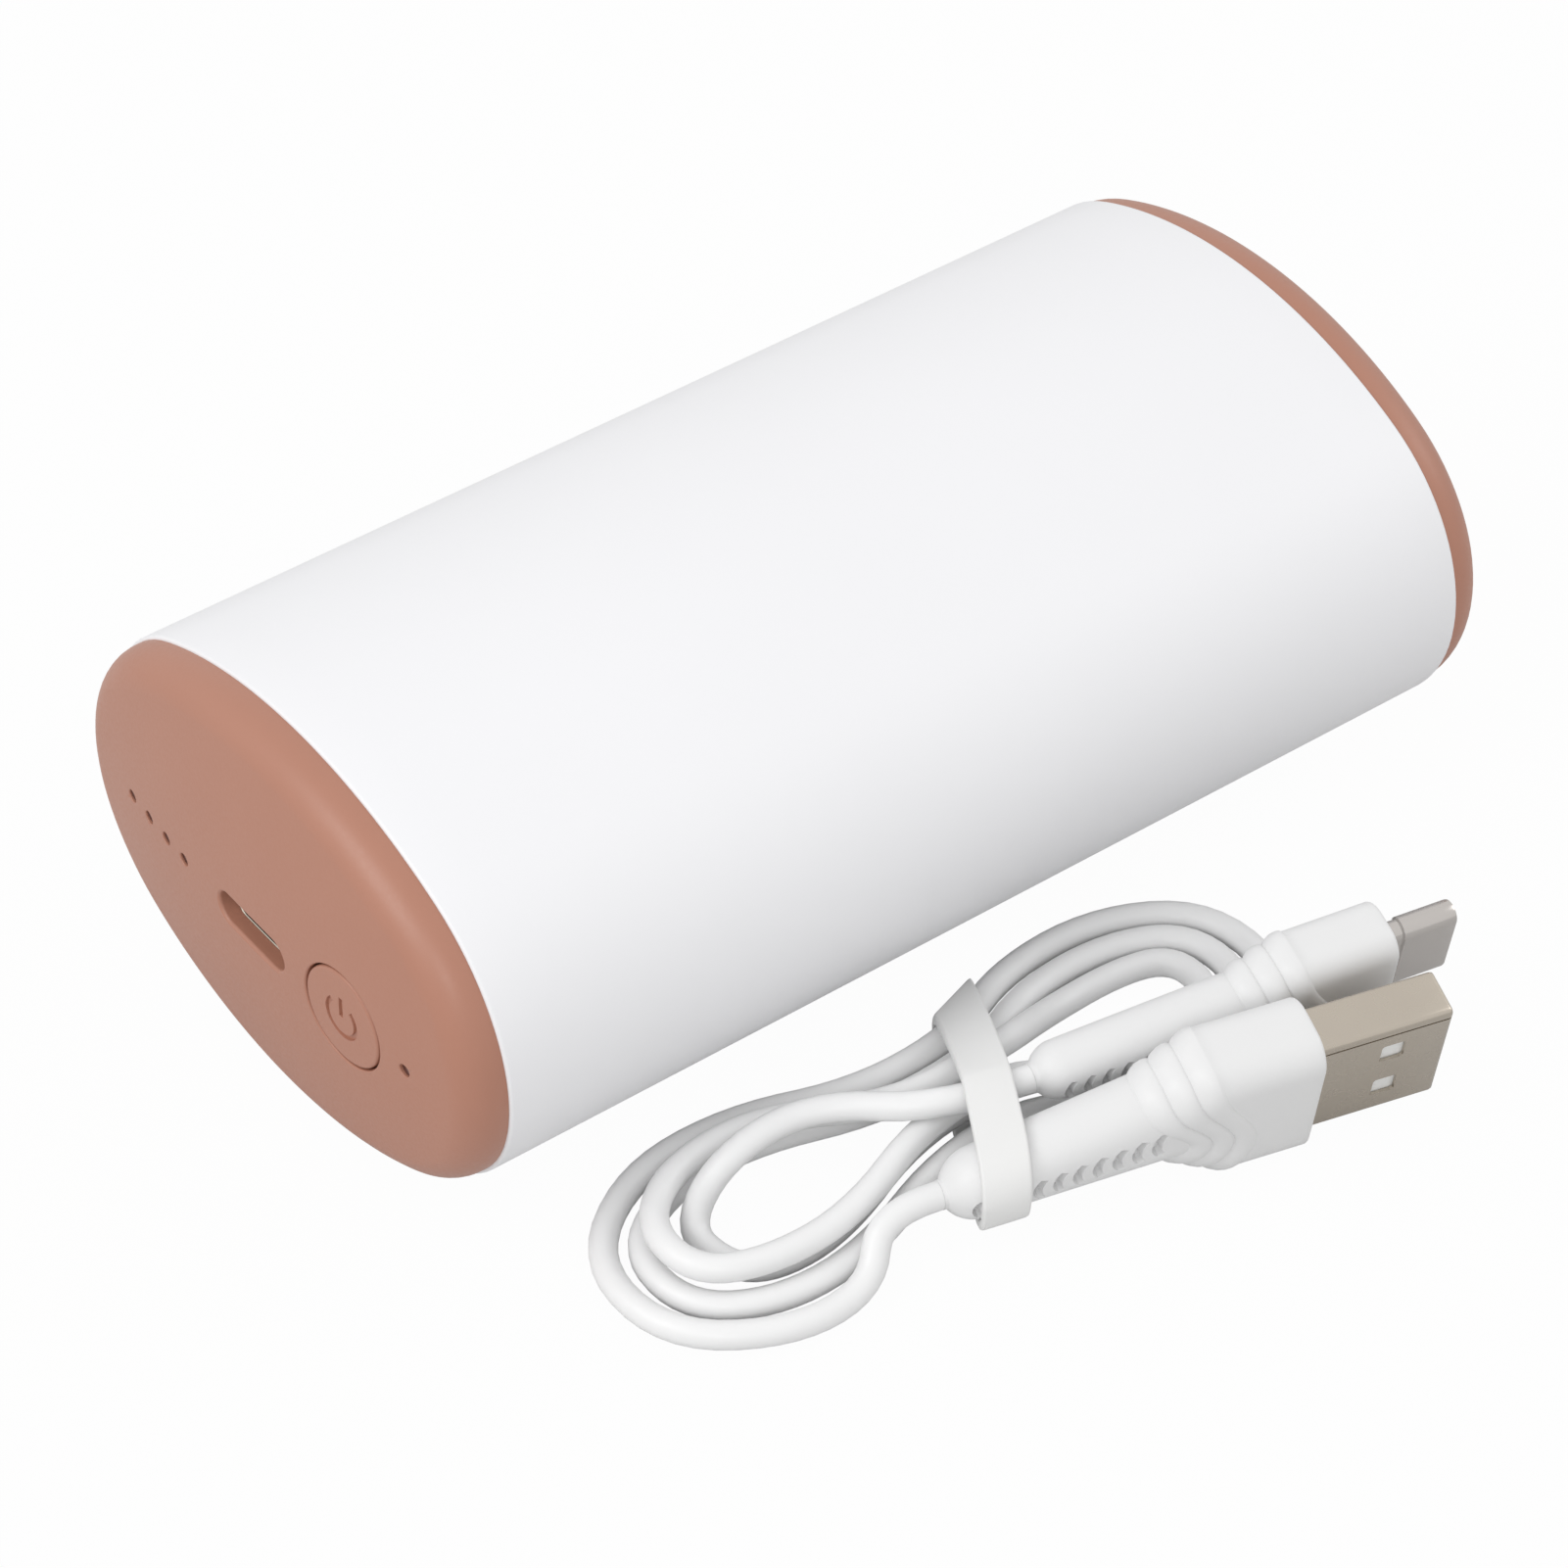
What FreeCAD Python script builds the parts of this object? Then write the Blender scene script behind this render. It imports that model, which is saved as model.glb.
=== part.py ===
import FreeCAD, Part
import math
import os
from FreeCAD import Vector

# Rechargeable hand warmer with its charging cable, in millimetres.
# X runs along the barrel with the control end at -X, Y across the wide section, Z up from the table.

# Barrel tube: an oval of four tangent arcs, extruded
tube_length = 100.0
tube_width = 58.8
tube_height = 39.1
tube_end_share = 0.427
tube_wall = 1.2
tube_rim_round = 0.3

# End caps: a domed plate with a rounded edge and a skirt that plugs into the tube
cap_inset = 0.3
cap_side_height = 3.5
cap_edge_radius = 3.5
cap_dome_radius_wide = 190.0
cap_dome_radius_thin = 80.0
cap_wall = 2.0
skirt_depth = 6.0
skirt_wall = 1.5
skirt_gap = 0.1

# Row of lights, port and button on the control cap, from +Y to -Y
light_count = 4
light_edge_margin = 3.3
light_pitch = 3.05
light_hole_radius = 0.6
light_recess = 0.25
heat_light_edge_margin = 2.1
port_slot_width = 9.7
port_slot_height = 3.1
button_web = 3.3
button_ring_gap = 0.2
button_edge_round = 0.25
button_flange_lip = 0.95
button_flange_thickness = 0.8
button_ring_wall = 1.6
button_stem_radius = 2.0
button_travel = 0.3
moving_gap = 0.05
guide_gap = 0.1
edge_tolerance = 0.05

# Circuit board and what stands on it
board_side_gap = 1.8
board_length = 23.5
board_thickness = 1.2
board_front_gap = 0.5
board_notch_depth = 2.0
board_notch_margin = 0.6
port_shell_width = 8.94
port_shell_height = 3.26
port_shell_length = 7.3
port_shell_wall = 0.3
port_tongue_width = 6.7
port_tongue_thickness = 0.7
port_tongue_setback = 0.8
port_block_length = 1.6
led_width = 1.6
led_depth = 1.0
led_height = 0.8
light_bar_height = 2.2
light_bar_margin = 1.0
switch_width = 6.0
switch_depth = 3.4
switch_height = 3.4
plunger_width = 2.6
plunger_height = 1.3
plunger_reach = 1.0
plunger_insert = 1.0
plunger_pocket_spare = 0.2
inductor_side = 7.0
inductor_height = 3.2
inductor_round = 1.2
chip_side = 3.6
chip_height = 0.9
chip_count = 3
chip_pitch = 4.2
chip_first_gap = 1.2
connector_width = 6.0
connector_depth = 4.0
connector_height = 4.5
connector_wall = 0.7
screw_shank_radius = 0.85
screw_head_radius = 1.7
screw_head_height = 1.1
screw_hole_gap = 0.05
board_screw_length = 5.0
board_screw_edge = 3.0
board_post_gap = 0.4

# Cells, strips and the two halves of the inner frame
cell_side_room = 6.1
board_cell_room = 4.38
cell_gap = 0.6
cell_seat_gap = 0.15
cell_tip_radius = 4.0
cell_tip_height = 0.6
cell_rear_room = 1.0
strip_thickness = 0.25
strip_height = 15.0
lead_notch_half = 1.3
film_thickness = 0.25
film_open_width = 12.0
film_end_gap = 6.0
pad_thickness = 1.4
stack_gap = 0.05
frame_wall = 1.6
frame_end_gap = 0.2
frame_end_wall = 1.5
rib_thickness = 1.6
rib_count = 3
frame_boss_radius = 2.3
frame_boss_half_height = 5.0
frame_boss_places_share = 0.55
frame_screw_length = 8.0
board_boss_radius = 2.2
thermistor_length = 4.0
thermistor_width = 2.4
thermistor_height = 1.0
thermistor_room = 0.4
lead_radius = 0.75
lead_bend = 1.6
lead_spacing = 3.0
lead_channel = 2.2
heater_lead_margin = 9.5
heater_lead_turn = 4.0

# Charging cable: a cord wound as a hank of two lobes, tied at the waist, with a plug at each end
cord_diameter = 2.5
hank_x = -11.5
hank_y = -37.0
hank_turn_deg = 2.0
lobe_length = 33.6
lobe_peak = 20.0
left_lobe_half_width = 11.2
right_lobe_half_width = 10.4
strand_step = 3.3
right_step_share = 0.94
left_inset_shares = [0.0, 1.0, 1.35, 2.0]
left_layers = [0, 0, 1, 0]
waist_shares = [1.55, -1.6, 0.68, -0.92, -0.02, -0.52]
waist_layers = [0, 0, 0, 1, 1, 0]
layer_rise = 3.0
top_turn_shift = 0.7
last_lobe_pull = 2.0
last_peak_back = 17.0
last_peak_across = 3.6
gap_samples = 10
straight_limit = 0.0001
tie_thickness = 0.9
tie_width = 4.2
tie_gap = 0.4
tie_turn_deg = -30.0
waist_lift = 2.32
waist_rise = 2.65
tie_checks = 360

# Plugs: real connector sizes, moulded grips with three ridges and a notched strain relief
usb_a_shell_width = 12.0
usb_a_shell_height = 4.5
usb_a_shell_wall = 0.3
usb_a_shell_reach = 12.2
usb_a_shell_sunk = 3.0
usb_a_window = 2.2
usb_a_window_spacing = 5.0
usb_a_window_setback = 6.0
usb_a_tongue_height = 1.9
usb_a_tongue_setback = 1.0
usb_a_grip_width = 14.8
usb_a_grip_thickness = 7.6
usb_a_grip_length = 10.0
usb_a_neck_length = 6.0
usb_a_relief_length = 16.4
usb_a_relief_width = 8.4
usb_a_tail_width = 5.6
usb_a_tail_drop = 2.5
usb_a_heading_deg = -14.0
usb_a_tail_x = -20.2
usb_a_tail_y = -47.5
usb_c_shell_width = 8.25
usb_c_shell_height = 2.4
usb_c_shell_wall = 0.3
usb_c_shell_reach = 6.7
usb_c_shell_sunk = 3.0
usb_c_tongue_height = 0.75
usb_c_tongue_setback = 1.2
usb_c_grip_width = 11.0
usb_c_grip_thickness = 6.2
usb_c_grip_length = 9.0
usb_c_neck_length = 5.6
usb_c_relief_length = 18.4
usb_c_relief_width = 6.4
usb_c_tail_width = 4.8
usb_c_tail_drop = 0.0
usb_c_heading_deg = -10.5
usb_c_tail_x = -8.0
usb_c_tail_y = -43.5
plug_lean_deg = 12.0
usb_a_corner_share = 0.12
usb_c_corner_share = 0.49
plug_fit_gap = 0.05
grip_corner_share = 0.34
tail_corner_share = 0.46
ridge_count = 3
ridge_height = 0.35
ridge_length_share = 0.16
notch_count = 6
notch_depth = 0.9
notch_length_share = 0.09
notch_width_share = 0.3

# Sizes worked out from those above
overrun = tube_height
half_length = tube_length / 2
half_width = tube_width / 2
half_height = tube_height / 2
tube_end_radius = tube_end_share * tube_height
cap_half_width = half_width - cap_inset
dome_drop = cap_dome_radius_wide - math.sqrt(cap_dome_radius_wide ** 2 - cap_half_width ** 2)
cap_rise = cap_side_height + dome_drop
tip_x = -half_length - cap_rise
skirt_inset = tube_wall + skirt_gap
cavity_inset = skirt_inset + skirt_wall
film_inset = tube_wall + stack_gap
pad_inset = film_inset + film_thickness + stack_gap
frame_inset = pad_inset + pad_thickness + stack_gap
bay_inset = frame_inset + frame_wall
frame_end = half_length - skirt_depth - frame_end_gap
board_half = half_width - bay_inset - board_side_gap
heat_light_y = heat_light_edge_margin - board_half
light_first_y = board_half - light_edge_margin
heater_lead_y = board_half - heater_lead_margin
button_y = (heat_light_y - port_slot_width / 2) / 2
button_radius = button_y - heat_light_y - button_web
film_length = tube_length - 2 * (skirt_depth + film_end_gap)
cell_radius = (half_width - bay_inset - cell_gap / 2 - cell_side_room) / 2
cord_radius = cord_diameter / 2


# Shapes that many pieces share
def block(low, high):
    size = high - low
    return Part.makeBox(size.x, size.y, size.z, low)


def rod(radius, start, end):
    return Part.makeCylinder(radius, (end - start).Length, start, end - start)


def oval_wire(inset, x):
    """The tube's section pulled in by inset, as four tangent arcs in the plane at x."""
    wide = half_width - inset
    high = half_height - inset
    end_radius = tube_end_radius - inset
    end_y = wide - end_radius
    side_radius = (end_y ** 2 + high ** 2 - end_radius ** 2) / (2 * (high - end_radius))
    side_z = side_radius - high
    joint = math.atan2(side_z, end_y)
    y = end_y + end_radius * math.cos(joint)
    z = end_radius * math.sin(joint)
    right_top = Vector(x, y, z)
    right_low = Vector(x, y, -z)
    left_top = Vector(x, -y, z)
    left_low = Vector(x, -y, -z)
    arcs = [Part.Arc(right_low, Vector(x, wide, 0), right_top),
            Part.Arc(right_top, Vector(x, 0, high), left_top),
            Part.Arc(left_top, Vector(x, -wide, 0), left_low),
            Part.Arc(left_low, Vector(x, 0, -high), right_low)]
    return Part.Wire([arc.toShape() for arc in arcs])


def oval_prism(inset, start, end):
    return Part.Face(oval_wire(inset, start)).extrude(Vector(end - start, 0, 0))


def oval_layer(inset, thickness, start, end):
    return oval_prism(inset, start, end).cut(oval_prism(inset + thickness, start, end))


def dome(depth):
    """A block whose -X face is the cap's dome, set back by depth."""
    pivot = Vector(tip_x + cap_dome_radius_wide, 0, 0)
    radius = cap_dome_radius_thin - depth
    centre_x = tip_x + cap_dome_radius_thin
    x = centre_x - math.sqrt(radius ** 2 - tube_height ** 2 / 4)
    top = Vector(x, 0, half_height)
    low = Vector(x, 0, -half_height)
    back_top = Vector(overrun - half_length, 0, half_height)
    back_low = Vector(overrun - half_length, 0, -half_height)
    arc = Part.Arc(low, Vector(centre_x - radius, 0, 0), top).toShape()
    pairs = ((top, back_top), (back_top, back_low), (back_low, low))
    lines = [Part.LineSegment(*pair).toShape() for pair in pairs]
    profile = Part.Face(Part.Wire([arc] + lines))
    sweep = 2 * math.degrees(math.asin(half_width / (cap_dome_radius_wide - tube_width)))
    profile.rotate(pivot, Vector(0, 0, 1), -sweep / 2)
    return profile.revolve(pivot, Vector(0, 0, 1), sweep)


def dome_x(y, depth):
    return tip_x + cap_dome_radius_wide - math.sqrt((cap_dome_radius_wide - depth) ** 2 - y ** 2)


def stadium_prism(width, height, start, end):
    """A slot with round ends, long in Y, between two X planes."""
    radius = height / 2
    reach = width / 2 - radius
    slab = block(Vector(start, -reach, -radius), Vector(end, reach, radius))
    ends = [rod(radius, Vector(start, side * reach, 0), Vector(end, side * reach, 0)) for side in (-1, 1)]
    return slab.fuse(ends).removeSplitter()


def bent_rod(points, radius, bend):
    """A round lead along straight runs joined by tangent arcs."""
    edges = []
    start = points[0]
    for before, corner, after in zip(points, points[1:], points[2:]):
        back = (before - corner).normalize()
        ahead = (after - corner).normalize()
        half = back.getAngle(ahead) / 2
        trim = bend / math.tan(half)
        middle = corner + (back + ahead).normalize() * (bend / math.sin(half) - bend)
        edges.append(Part.LineSegment(start, corner + back * trim).toShape())
        edges.append(Part.Arc(corner + back * trim, middle, corner + ahead * trim).toShape())
        start = corner + ahead * trim
    edges.append(Part.LineSegment(start, points[-1]).toShape())
    section = Part.Wire(Part.makeCircle(radius, points[0], points[1] - points[0]))
    return Part.Wire(edges).makePipeShell([section], True, False)


def keep(name, solids, lift):
    """Writes one node, lifted from the barrel's axis to the table."""
    shape = solids if isinstance(solids, Part.Shape) else Part.makeCompound(solids)
    shape = shape.copy()
    shape.translate(Vector(0, 0, lift))
    shape.exportStep("parts/" + name + ".step")


os.makedirs("parts", exist_ok=True)


# Heat tube
heat_tube = oval_layer(0, tube_wall, -half_length, half_length)
outer_section = oval_wire(0, 0)
rims = [edge for edge in heat_tube.Edges
        if edge.BoundBox.XLength < edge_tolerance and edge.Length > outer_section.Length / 8
        and abs(abs(edge.CenterOfMass.x) - half_length) < edge_tolerance]
outer_rims = [edge for edge in rims
              if any(abs(edge.Length - arc.Length) < edge_tolerance for arc in outer_section.Edges)]
heat_tube = heat_tube.makeFillet(min(tube_rim_round, tube_wall / 2), outer_rims)
keep("heat_tube", heat_tube, half_height)


# End caps
def cap_blank():
    lid = oval_prism(cap_inset, -half_length - overrun, -half_length).common(dome(0))
    edge_list = [edge for edge in lid.Edges
                 if edge.BoundBox.XMax < -half_length - edge_tolerance and not isinstance(edge.Curve, Part.Line)]
    lid = lid.makeFillet(min(cap_edge_radius, cap_side_height), edge_list)
    skirt = oval_prism(skirt_inset, -half_length, skirt_depth - half_length)
    cavity = oval_prism(cavity_inset, -half_length - overrun, overrun - half_length).common(dome(cap_wall))
    return lid.fuse(skirt).cut(cavity).removeSplitter()


blank = cap_blank()
rear_cap = blank.mirror(Vector(0, 0, 0), Vector(1, 0, 0))
keep("rear_cap", rear_cap, half_height)

light_places = [light_first_y - step * light_pitch for step in range(light_count)]
hole_places = light_places + [heat_light_y]
button_hole_radius = button_radius + button_ring_gap
button_ring_radius = button_hole_radius + button_ring_wall
button_flange_radius = button_hole_radius + button_flange_lip
seat_x = dome_x(abs(button_y) + button_ring_radius, cap_wall) + guide_gap


def along_button(radius, start, end):
    return rod(radius, Vector(start, button_y, 0), Vector(end, button_y, 0))


ring = along_button(button_ring_radius, tip_x, seat_x).common(dome(cap_wall / 2))
slot = stadium_prism(port_slot_width, port_slot_height, tip_x - overrun, dome_x(0, cap_wall) + cap_wall)
light_holes = [rod(light_hole_radius, Vector(tip_x - overrun, y, 0), Vector(seat_x + cap_wall, y, 0))
               for y in hole_places]
button_hole = along_button(button_hole_radius, tip_x - overrun, seat_x + cap_wall)
front_cap = blank.fuse(ring).cut([slot, button_hole] + light_holes).removeSplitter()
keep("front_cap", front_cap, half_height)

# Power button: a domed disc with a keeper flange behind the cap and a stem to the switch
board_front = dome_x(board_half, cap_wall) + board_front_gap
plunger_front = board_front + board_notch_depth - button_travel - guide_gap
flange_front = seat_x + moving_gap
flange_back = flange_front + button_flange_thickness
disc = along_button(button_radius, tip_x - overrun, flange_front).common(dome(0))
disc_rim = [edge for edge in disc.Edges
            if edge.BoundBox.XMax < flange_front - edge_tolerance and not isinstance(edge.Curve, Part.Line)]
disc = disc.makeFillet(button_edge_round, disc_rim)
flange = along_button(button_flange_radius, flange_front, flange_back)
stem = along_button(button_stem_radius, flange_back, plunger_front - moving_gap)
keep("power_button", disc.fuse([flange, stem]).removeSplitter(), half_height)

# Light guides: pins in the cap's holes on a bar that faces the diodes
board_top = -port_shell_height / 2
bar_back = board_front - guide_gap
bar_low = board_top + guide_gap


def light_guide(places):
    reach = max(abs(y) for y in places) + light_bar_margin
    bar_front = dome_x(reach, cap_wall) + guide_gap
    low = Vector(bar_front, min(places) - light_bar_margin, bar_low)
    high = Vector(bar_back, max(places) + light_bar_margin, bar_low + light_bar_height)
    radius = light_hole_radius - moving_gap
    pins = [rod(radius, Vector(dome_x(abs(y), light_recess), y, 0), Vector(bar_back, y, 0)) for y in places]
    return block(low, high).fuse(pins).removeSplitter()


keep("battery_light_guide", light_guide(light_places), half_height)
keep("heat_light_guide", light_guide([heat_light_y]), half_height)

# Main board with a notch behind the button
board_back = board_front + board_length
board_low = board_top - board_thickness
board = block(Vector(board_front, -board_half, board_low), Vector(board_back, board_half, board_top))
notch_half = button_flange_radius + board_notch_margin
notch = block(Vector(board_front - overrun, button_y - notch_half, board_low - overrun),
              Vector(board_front + board_notch_depth, button_y + notch_half, board_top + overrun))
screw_x = [board_boss_radius + board_post_gap - frame_end, board_back - board_screw_edge]
screw_y = board_half - board_screw_edge
board_screw_places = [(x, side * screw_y) for x in screw_x for side in (-1, 1)]
hole_radius = screw_shank_radius + screw_hole_gap
board_holes = [rod(hole_radius, Vector(x, y, board_low - overrun), Vector(x, y, board_top + overrun))
               for x, y in board_screw_places]
keep("main_board", board.cut([notch] + board_holes), half_height)


def screw(x, y, seat_z, length):
    """A pan-head screw that goes down from its seat."""
    shank = rod(screw_shank_radius, Vector(x, y, seat_z - length), Vector(x, y, seat_z))
    head = rod(screw_head_radius, Vector(x, y, seat_z), Vector(x, y, seat_z + screw_head_height))
    crown = [edge for edge in head.Edges if edge.BoundBox.ZMin > seat_z + screw_head_height / 2
             and not isinstance(edge.Curve, Part.Line)]
    return shank.fuse(head.makeFillet(screw_head_height / 2, crown)).removeSplitter()


keep("board_screws",
     [screw(x, y, board_top, board_screw_length) for x, y in board_screw_places], half_height)

# Charging port on the board's front edge
port_front = dome_x(0, cap_wall) + guide_gap
port_back = port_front + port_shell_length
port_inner_width = port_shell_width - 2 * port_shell_wall
port_inner_height = port_shell_height - 2 * port_shell_wall
port_shell = stadium_prism(port_shell_width, port_shell_height, port_front, port_back)
port_bore = stadium_prism(port_inner_width, port_inner_height, port_front - overrun,
                          port_back - port_shell_wall)
keep("usb_port_shell", port_shell.cut(port_bore), half_height)
block_end = port_back - port_shell_wall
port_block = stadium_prism(port_inner_width - 2 * moving_gap, port_inner_height - 2 * moving_gap,
                           block_end - port_block_length, block_end)
port_plate = block(Vector(port_front + port_tongue_setback, -port_tongue_width / 2,
                          -port_tongue_thickness / 2),
                   Vector(block_end, port_tongue_width / 2, port_tongue_thickness / 2))
keep("usb_port_tongue", port_block.fuse(port_plate).removeSplitter(), half_height)

# Diodes, switch, inductor, chips and connectors on the board
leds = [block(Vector(board_front + moving_gap, y - led_width / 2, board_top),
              Vector(board_front + moving_gap + led_depth, y + led_width / 2, board_top + led_height))
        for y in hole_places]
keep("indicator_leds", leds, half_height)

switch_front = plunger_front + plunger_reach
pocket_depth = plunger_insert + button_travel + plunger_pocket_spare
switch_body = block(Vector(switch_front, button_y - switch_width / 2, board_top),
                    Vector(switch_front + switch_depth, button_y + switch_width / 2,
                           board_top + switch_height))


def plunger_block(start, end, gap):
    return block(Vector(start, button_y - plunger_width / 2 - gap, -plunger_height / 2 - gap),
                 Vector(end, button_y + plunger_width / 2 + gap, plunger_height / 2 + gap))


pocket = plunger_block(switch_front - overrun, switch_front + pocket_depth, moving_gap)
keep("switch_body", switch_body.cut(pocket), half_height)
keep("switch_plunger", plunger_block(plunger_front, switch_front + plunger_insert, 0), half_height)

inductor_x = (port_back + board_back - connector_depth) / 2
inductor_half = inductor_side / 2
inductor = block(Vector(inductor_x - inductor_half, -inductor_half, board_top),
                 Vector(inductor_x + inductor_half, inductor_half, board_top + inductor_height))
uprights = [edge for edge in inductor.Edges if edge.BoundBox.ZLength > inductor_height / 2]
keep("power_inductor", inductor.makeFillet(inductor_round, uprights), half_height)

chip_x = board_back - connector_depth - chip_side / 2
chip_y = inductor_half + chip_first_gap + chip_side / 2
chip_places = [chip_y] + [-chip_y - step * chip_pitch for step in range(chip_count - 1)]
chips = [block(Vector(chip_x - chip_side / 2, y - chip_side / 2, board_top),
               Vector(chip_x + chip_side / 2, y + chip_side / 2, board_top + chip_height))
         for y in chip_places]
keep("control_chips", chips, half_height)


def connector(x, y):
    """A header open at the top, where its leads go in."""
    low = Vector(x - connector_depth / 2, y - connector_width / 2, board_top)
    high = Vector(x + connector_depth / 2, y + connector_width / 2, board_top + connector_height)
    wall = Vector(connector_wall, connector_wall, 0)
    room = block(low + wall + Vector(0, 0, connector_wall), high - wall + Vector(0, 0, overrun))
    return block(low, high).cut(room)


film_front = -film_length / 2
battery_plug_x = board_back - connector_depth / 2
heater_plug_x = film_front - heater_lead_turn
keep("battery_connector", connector(battery_plug_x, 0), half_height)
keep("heater_connector", connector(heater_plug_x, heater_lead_y), half_height)

# Two cells side by side, joined by a strip at each end
cell_end = frame_end - frame_end_wall - cell_rear_room - strip_thickness
cell_front = board_back + board_cell_room
cell_length = cell_end - cell_front
cell_y = cell_radius + cell_gap / 2


def cell(y):
    can = rod(cell_radius, Vector(cell_front + cell_tip_height, y, 0), Vector(cell_end, y, 0))
    tip = rod(cell_tip_radius, Vector(cell_front, y, 0), Vector(cell_front + cell_tip_height, y, 0))
    return can.fuse(tip).removeSplitter()


keep("cell_left", cell(cell_y), half_height)
keep("cell_right", cell(-cell_y), half_height)


def strip(start):
    reach = cell_y + cell_tip_radius
    return block(Vector(start, -reach, -strip_height / 2),
                 Vector(start + strip_thickness, reach, strip_height / 2))


lead_z = strip_height / 2 - lead_radius - stack_gap
return_notch = block(Vector(-half_length, -lead_spacing / 2 - lead_notch_half, lead_z - lead_notch_half),
                     Vector(cell_end, -lead_spacing / 2 + lead_notch_half, strip_height))
keep("front_cell_strip", strip(cell_front - strip_thickness).cut(return_notch), half_height)
keep("rear_cell_strip", strip(cell_end), half_height)

# Inner frame in two halves, with cradle ribs, bulkheads, board posts and screw posts
bulkhead_x = cell_front - strip_thickness - frame_end_wall
rib_span = cell_length / (rib_count + 1)
rib_places = [cell_front + rib_span * (step + 1) for step in range(rib_count)]
cell_cuts = [rod(cell_radius + cell_seat_gap, Vector(cell_front - strip_thickness, y, 0),
                 Vector(cell_end + overrun, y, 0))
             for y in (-cell_y, cell_y)]
strip_room = block(Vector(bulkhead_x + frame_end_wall, -half_width, -half_height),
                   Vector(cell_front + cell_tip_height, half_width, half_height))
lead_room = block(Vector(-half_length, -lead_spacing - lead_notch_half, 0),
                  Vector(cell_end, lead_spacing + lead_notch_half, lead_z + lead_channel))
tail_notch = block(Vector(-half_length, heater_lead_y - lead_spacing - lead_notch_half, 0),
                   Vector(film_front, heater_lead_y + lead_spacing + lead_notch_half, half_height))
post_y = (cell_y + cell_radius + half_width - bay_inset) / 2
post_x = [cell_front + cell_length * frame_boss_places_share * step + rib_span / 2 for step in (0, 1)]
frame_posts = [(x, side * post_y) for x in post_x for side in (-1, 1)]
inside = oval_prism(bay_inset, -frame_end, frame_end)
upper_half = block(Vector(-overrun - half_length, -overrun, 0),
                   Vector(half_length + overrun, overrun, overrun))
lower_half = upper_half.mirror(Vector(0, 0, 0), Vector(0, 0, 1))


def frame_half(side):
    """One half of the frame: side is 1 for the upper half and -1 for the lower."""
    half = upper_half if side > 0 else lower_half
    plates = [oval_prism(bay_inset - stack_gap, x, x + rib_thickness) for x in rib_places]
    plates.append(oval_prism(bay_inset - stack_gap, bulkhead_x, bulkhead_x + frame_end_wall))
    plates.append(oval_prism(bay_inset - stack_gap, frame_end - frame_end_wall, frame_end))
    posts = [rod(frame_boss_radius, Vector(x, y, 0), Vector(x, y, side * half_height)).common(inside)
             for x, y in frame_posts]
    shell = oval_layer(frame_inset, frame_wall, -frame_end, frame_end)
    whole = shell.fuse(plates).common(half).fuse(posts)
    return whole.cut(cell_cuts + [strip_room.common(inside), lead_room, tail_notch])


board_posts = [rod(board_boss_radius, Vector(x, y, -half_height), Vector(x, y, board_low)).common(inside)
               for x, y in board_screw_places]
pilot_depth = board_screw_length + screw_head_height
board_pilots = [rod(hole_radius, Vector(x, y, board_top - pilot_depth), Vector(x, y, board_low))
                for x, y in board_screw_places]
frame_pilots = [rod(hole_radius, Vector(x, y, -frame_screw_length), Vector(x, y, overrun))
                for x, y in frame_posts]
head_rooms = [rod(screw_head_radius + screw_hole_gap, Vector(x, y, frame_boss_half_height / 2),
                  Vector(x, y, overrun))
              for x, y in frame_posts]
lower_frame = frame_half(-1).fuse(board_posts).cut(board_pilots + frame_pilots).removeSplitter()
upper_frame = frame_half(1).cut(frame_pilots + head_rooms).removeSplitter()
keep("lower_frame", lower_frame, half_height)
keep("upper_frame", upper_frame, half_height)
frame_screws = [screw(x, y, frame_boss_half_height / 2, frame_screw_length) for x, y in frame_posts]
keep("frame_screws", frame_screws, half_height)

# Heating film on the tube's inside, the foam under it and the bead that reads the heat
film_mouth = block(Vector(-half_length, -half_width - overrun, -film_open_width / 2),
                   Vector(half_length, 0, film_open_width / 2))


def wrap(inset, thickness):
    return oval_layer(inset, thickness, film_front, -film_front).cut(film_mouth)


bead_top = half_height - pad_inset - stack_gap
bead_half = Vector(thermistor_length / 2, thermistor_width / 2, 0)
bead = block(Vector(0, 0, bead_top - thermistor_height) - bead_half, Vector(0, 0, bead_top) + bead_half)
room_half = bead_half + Vector(thermistor_room, thermistor_room, 0)
bead_room = block(Vector(0, 0, 0) - room_half, Vector(0, 0, overrun) + room_half)
keep("heater_film", wrap(film_inset, film_thickness), half_height)
keep("heat_pad", wrap(pad_inset, pad_thickness).cut(bead_room), half_height)
keep("thermistor", bead, half_height)

# Leads: one from each strip to the battery header, two from the film to the heater header
plug_floor = board_top + connector_wall
battery_routes = [(cell_front - strip_thickness, lead_spacing / 2), (cell_end, -lead_spacing / 2)]
battery_leads = [bent_rod([Vector(start, y, lead_z), Vector(battery_plug_x, y, lead_z),
                           Vector(battery_plug_x, y, plug_floor)], lead_radius, lead_bend)
                 for start, y in battery_routes]
keep("battery_leads", battery_leads, half_height)
film_side_radius = oval_wire(film_inset, 0).Edges[1].Curve.Radius
heater_leads = []
for side in (-1, 1):
    y = heater_lead_y + side * lead_spacing / 2
    sag = film_side_radius - math.sqrt(film_side_radius ** 2 - y ** 2)
    z = half_height - film_inset - sag - lead_radius - stack_gap
    heater_leads.append(bent_rod([Vector(film_front, y, z), Vector(heater_plug_x, y, z),
                                  Vector(heater_plug_x, y, plug_floor)], lead_radius, lead_bend))
keep("heater_leads", heater_leads, half_height)


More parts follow.
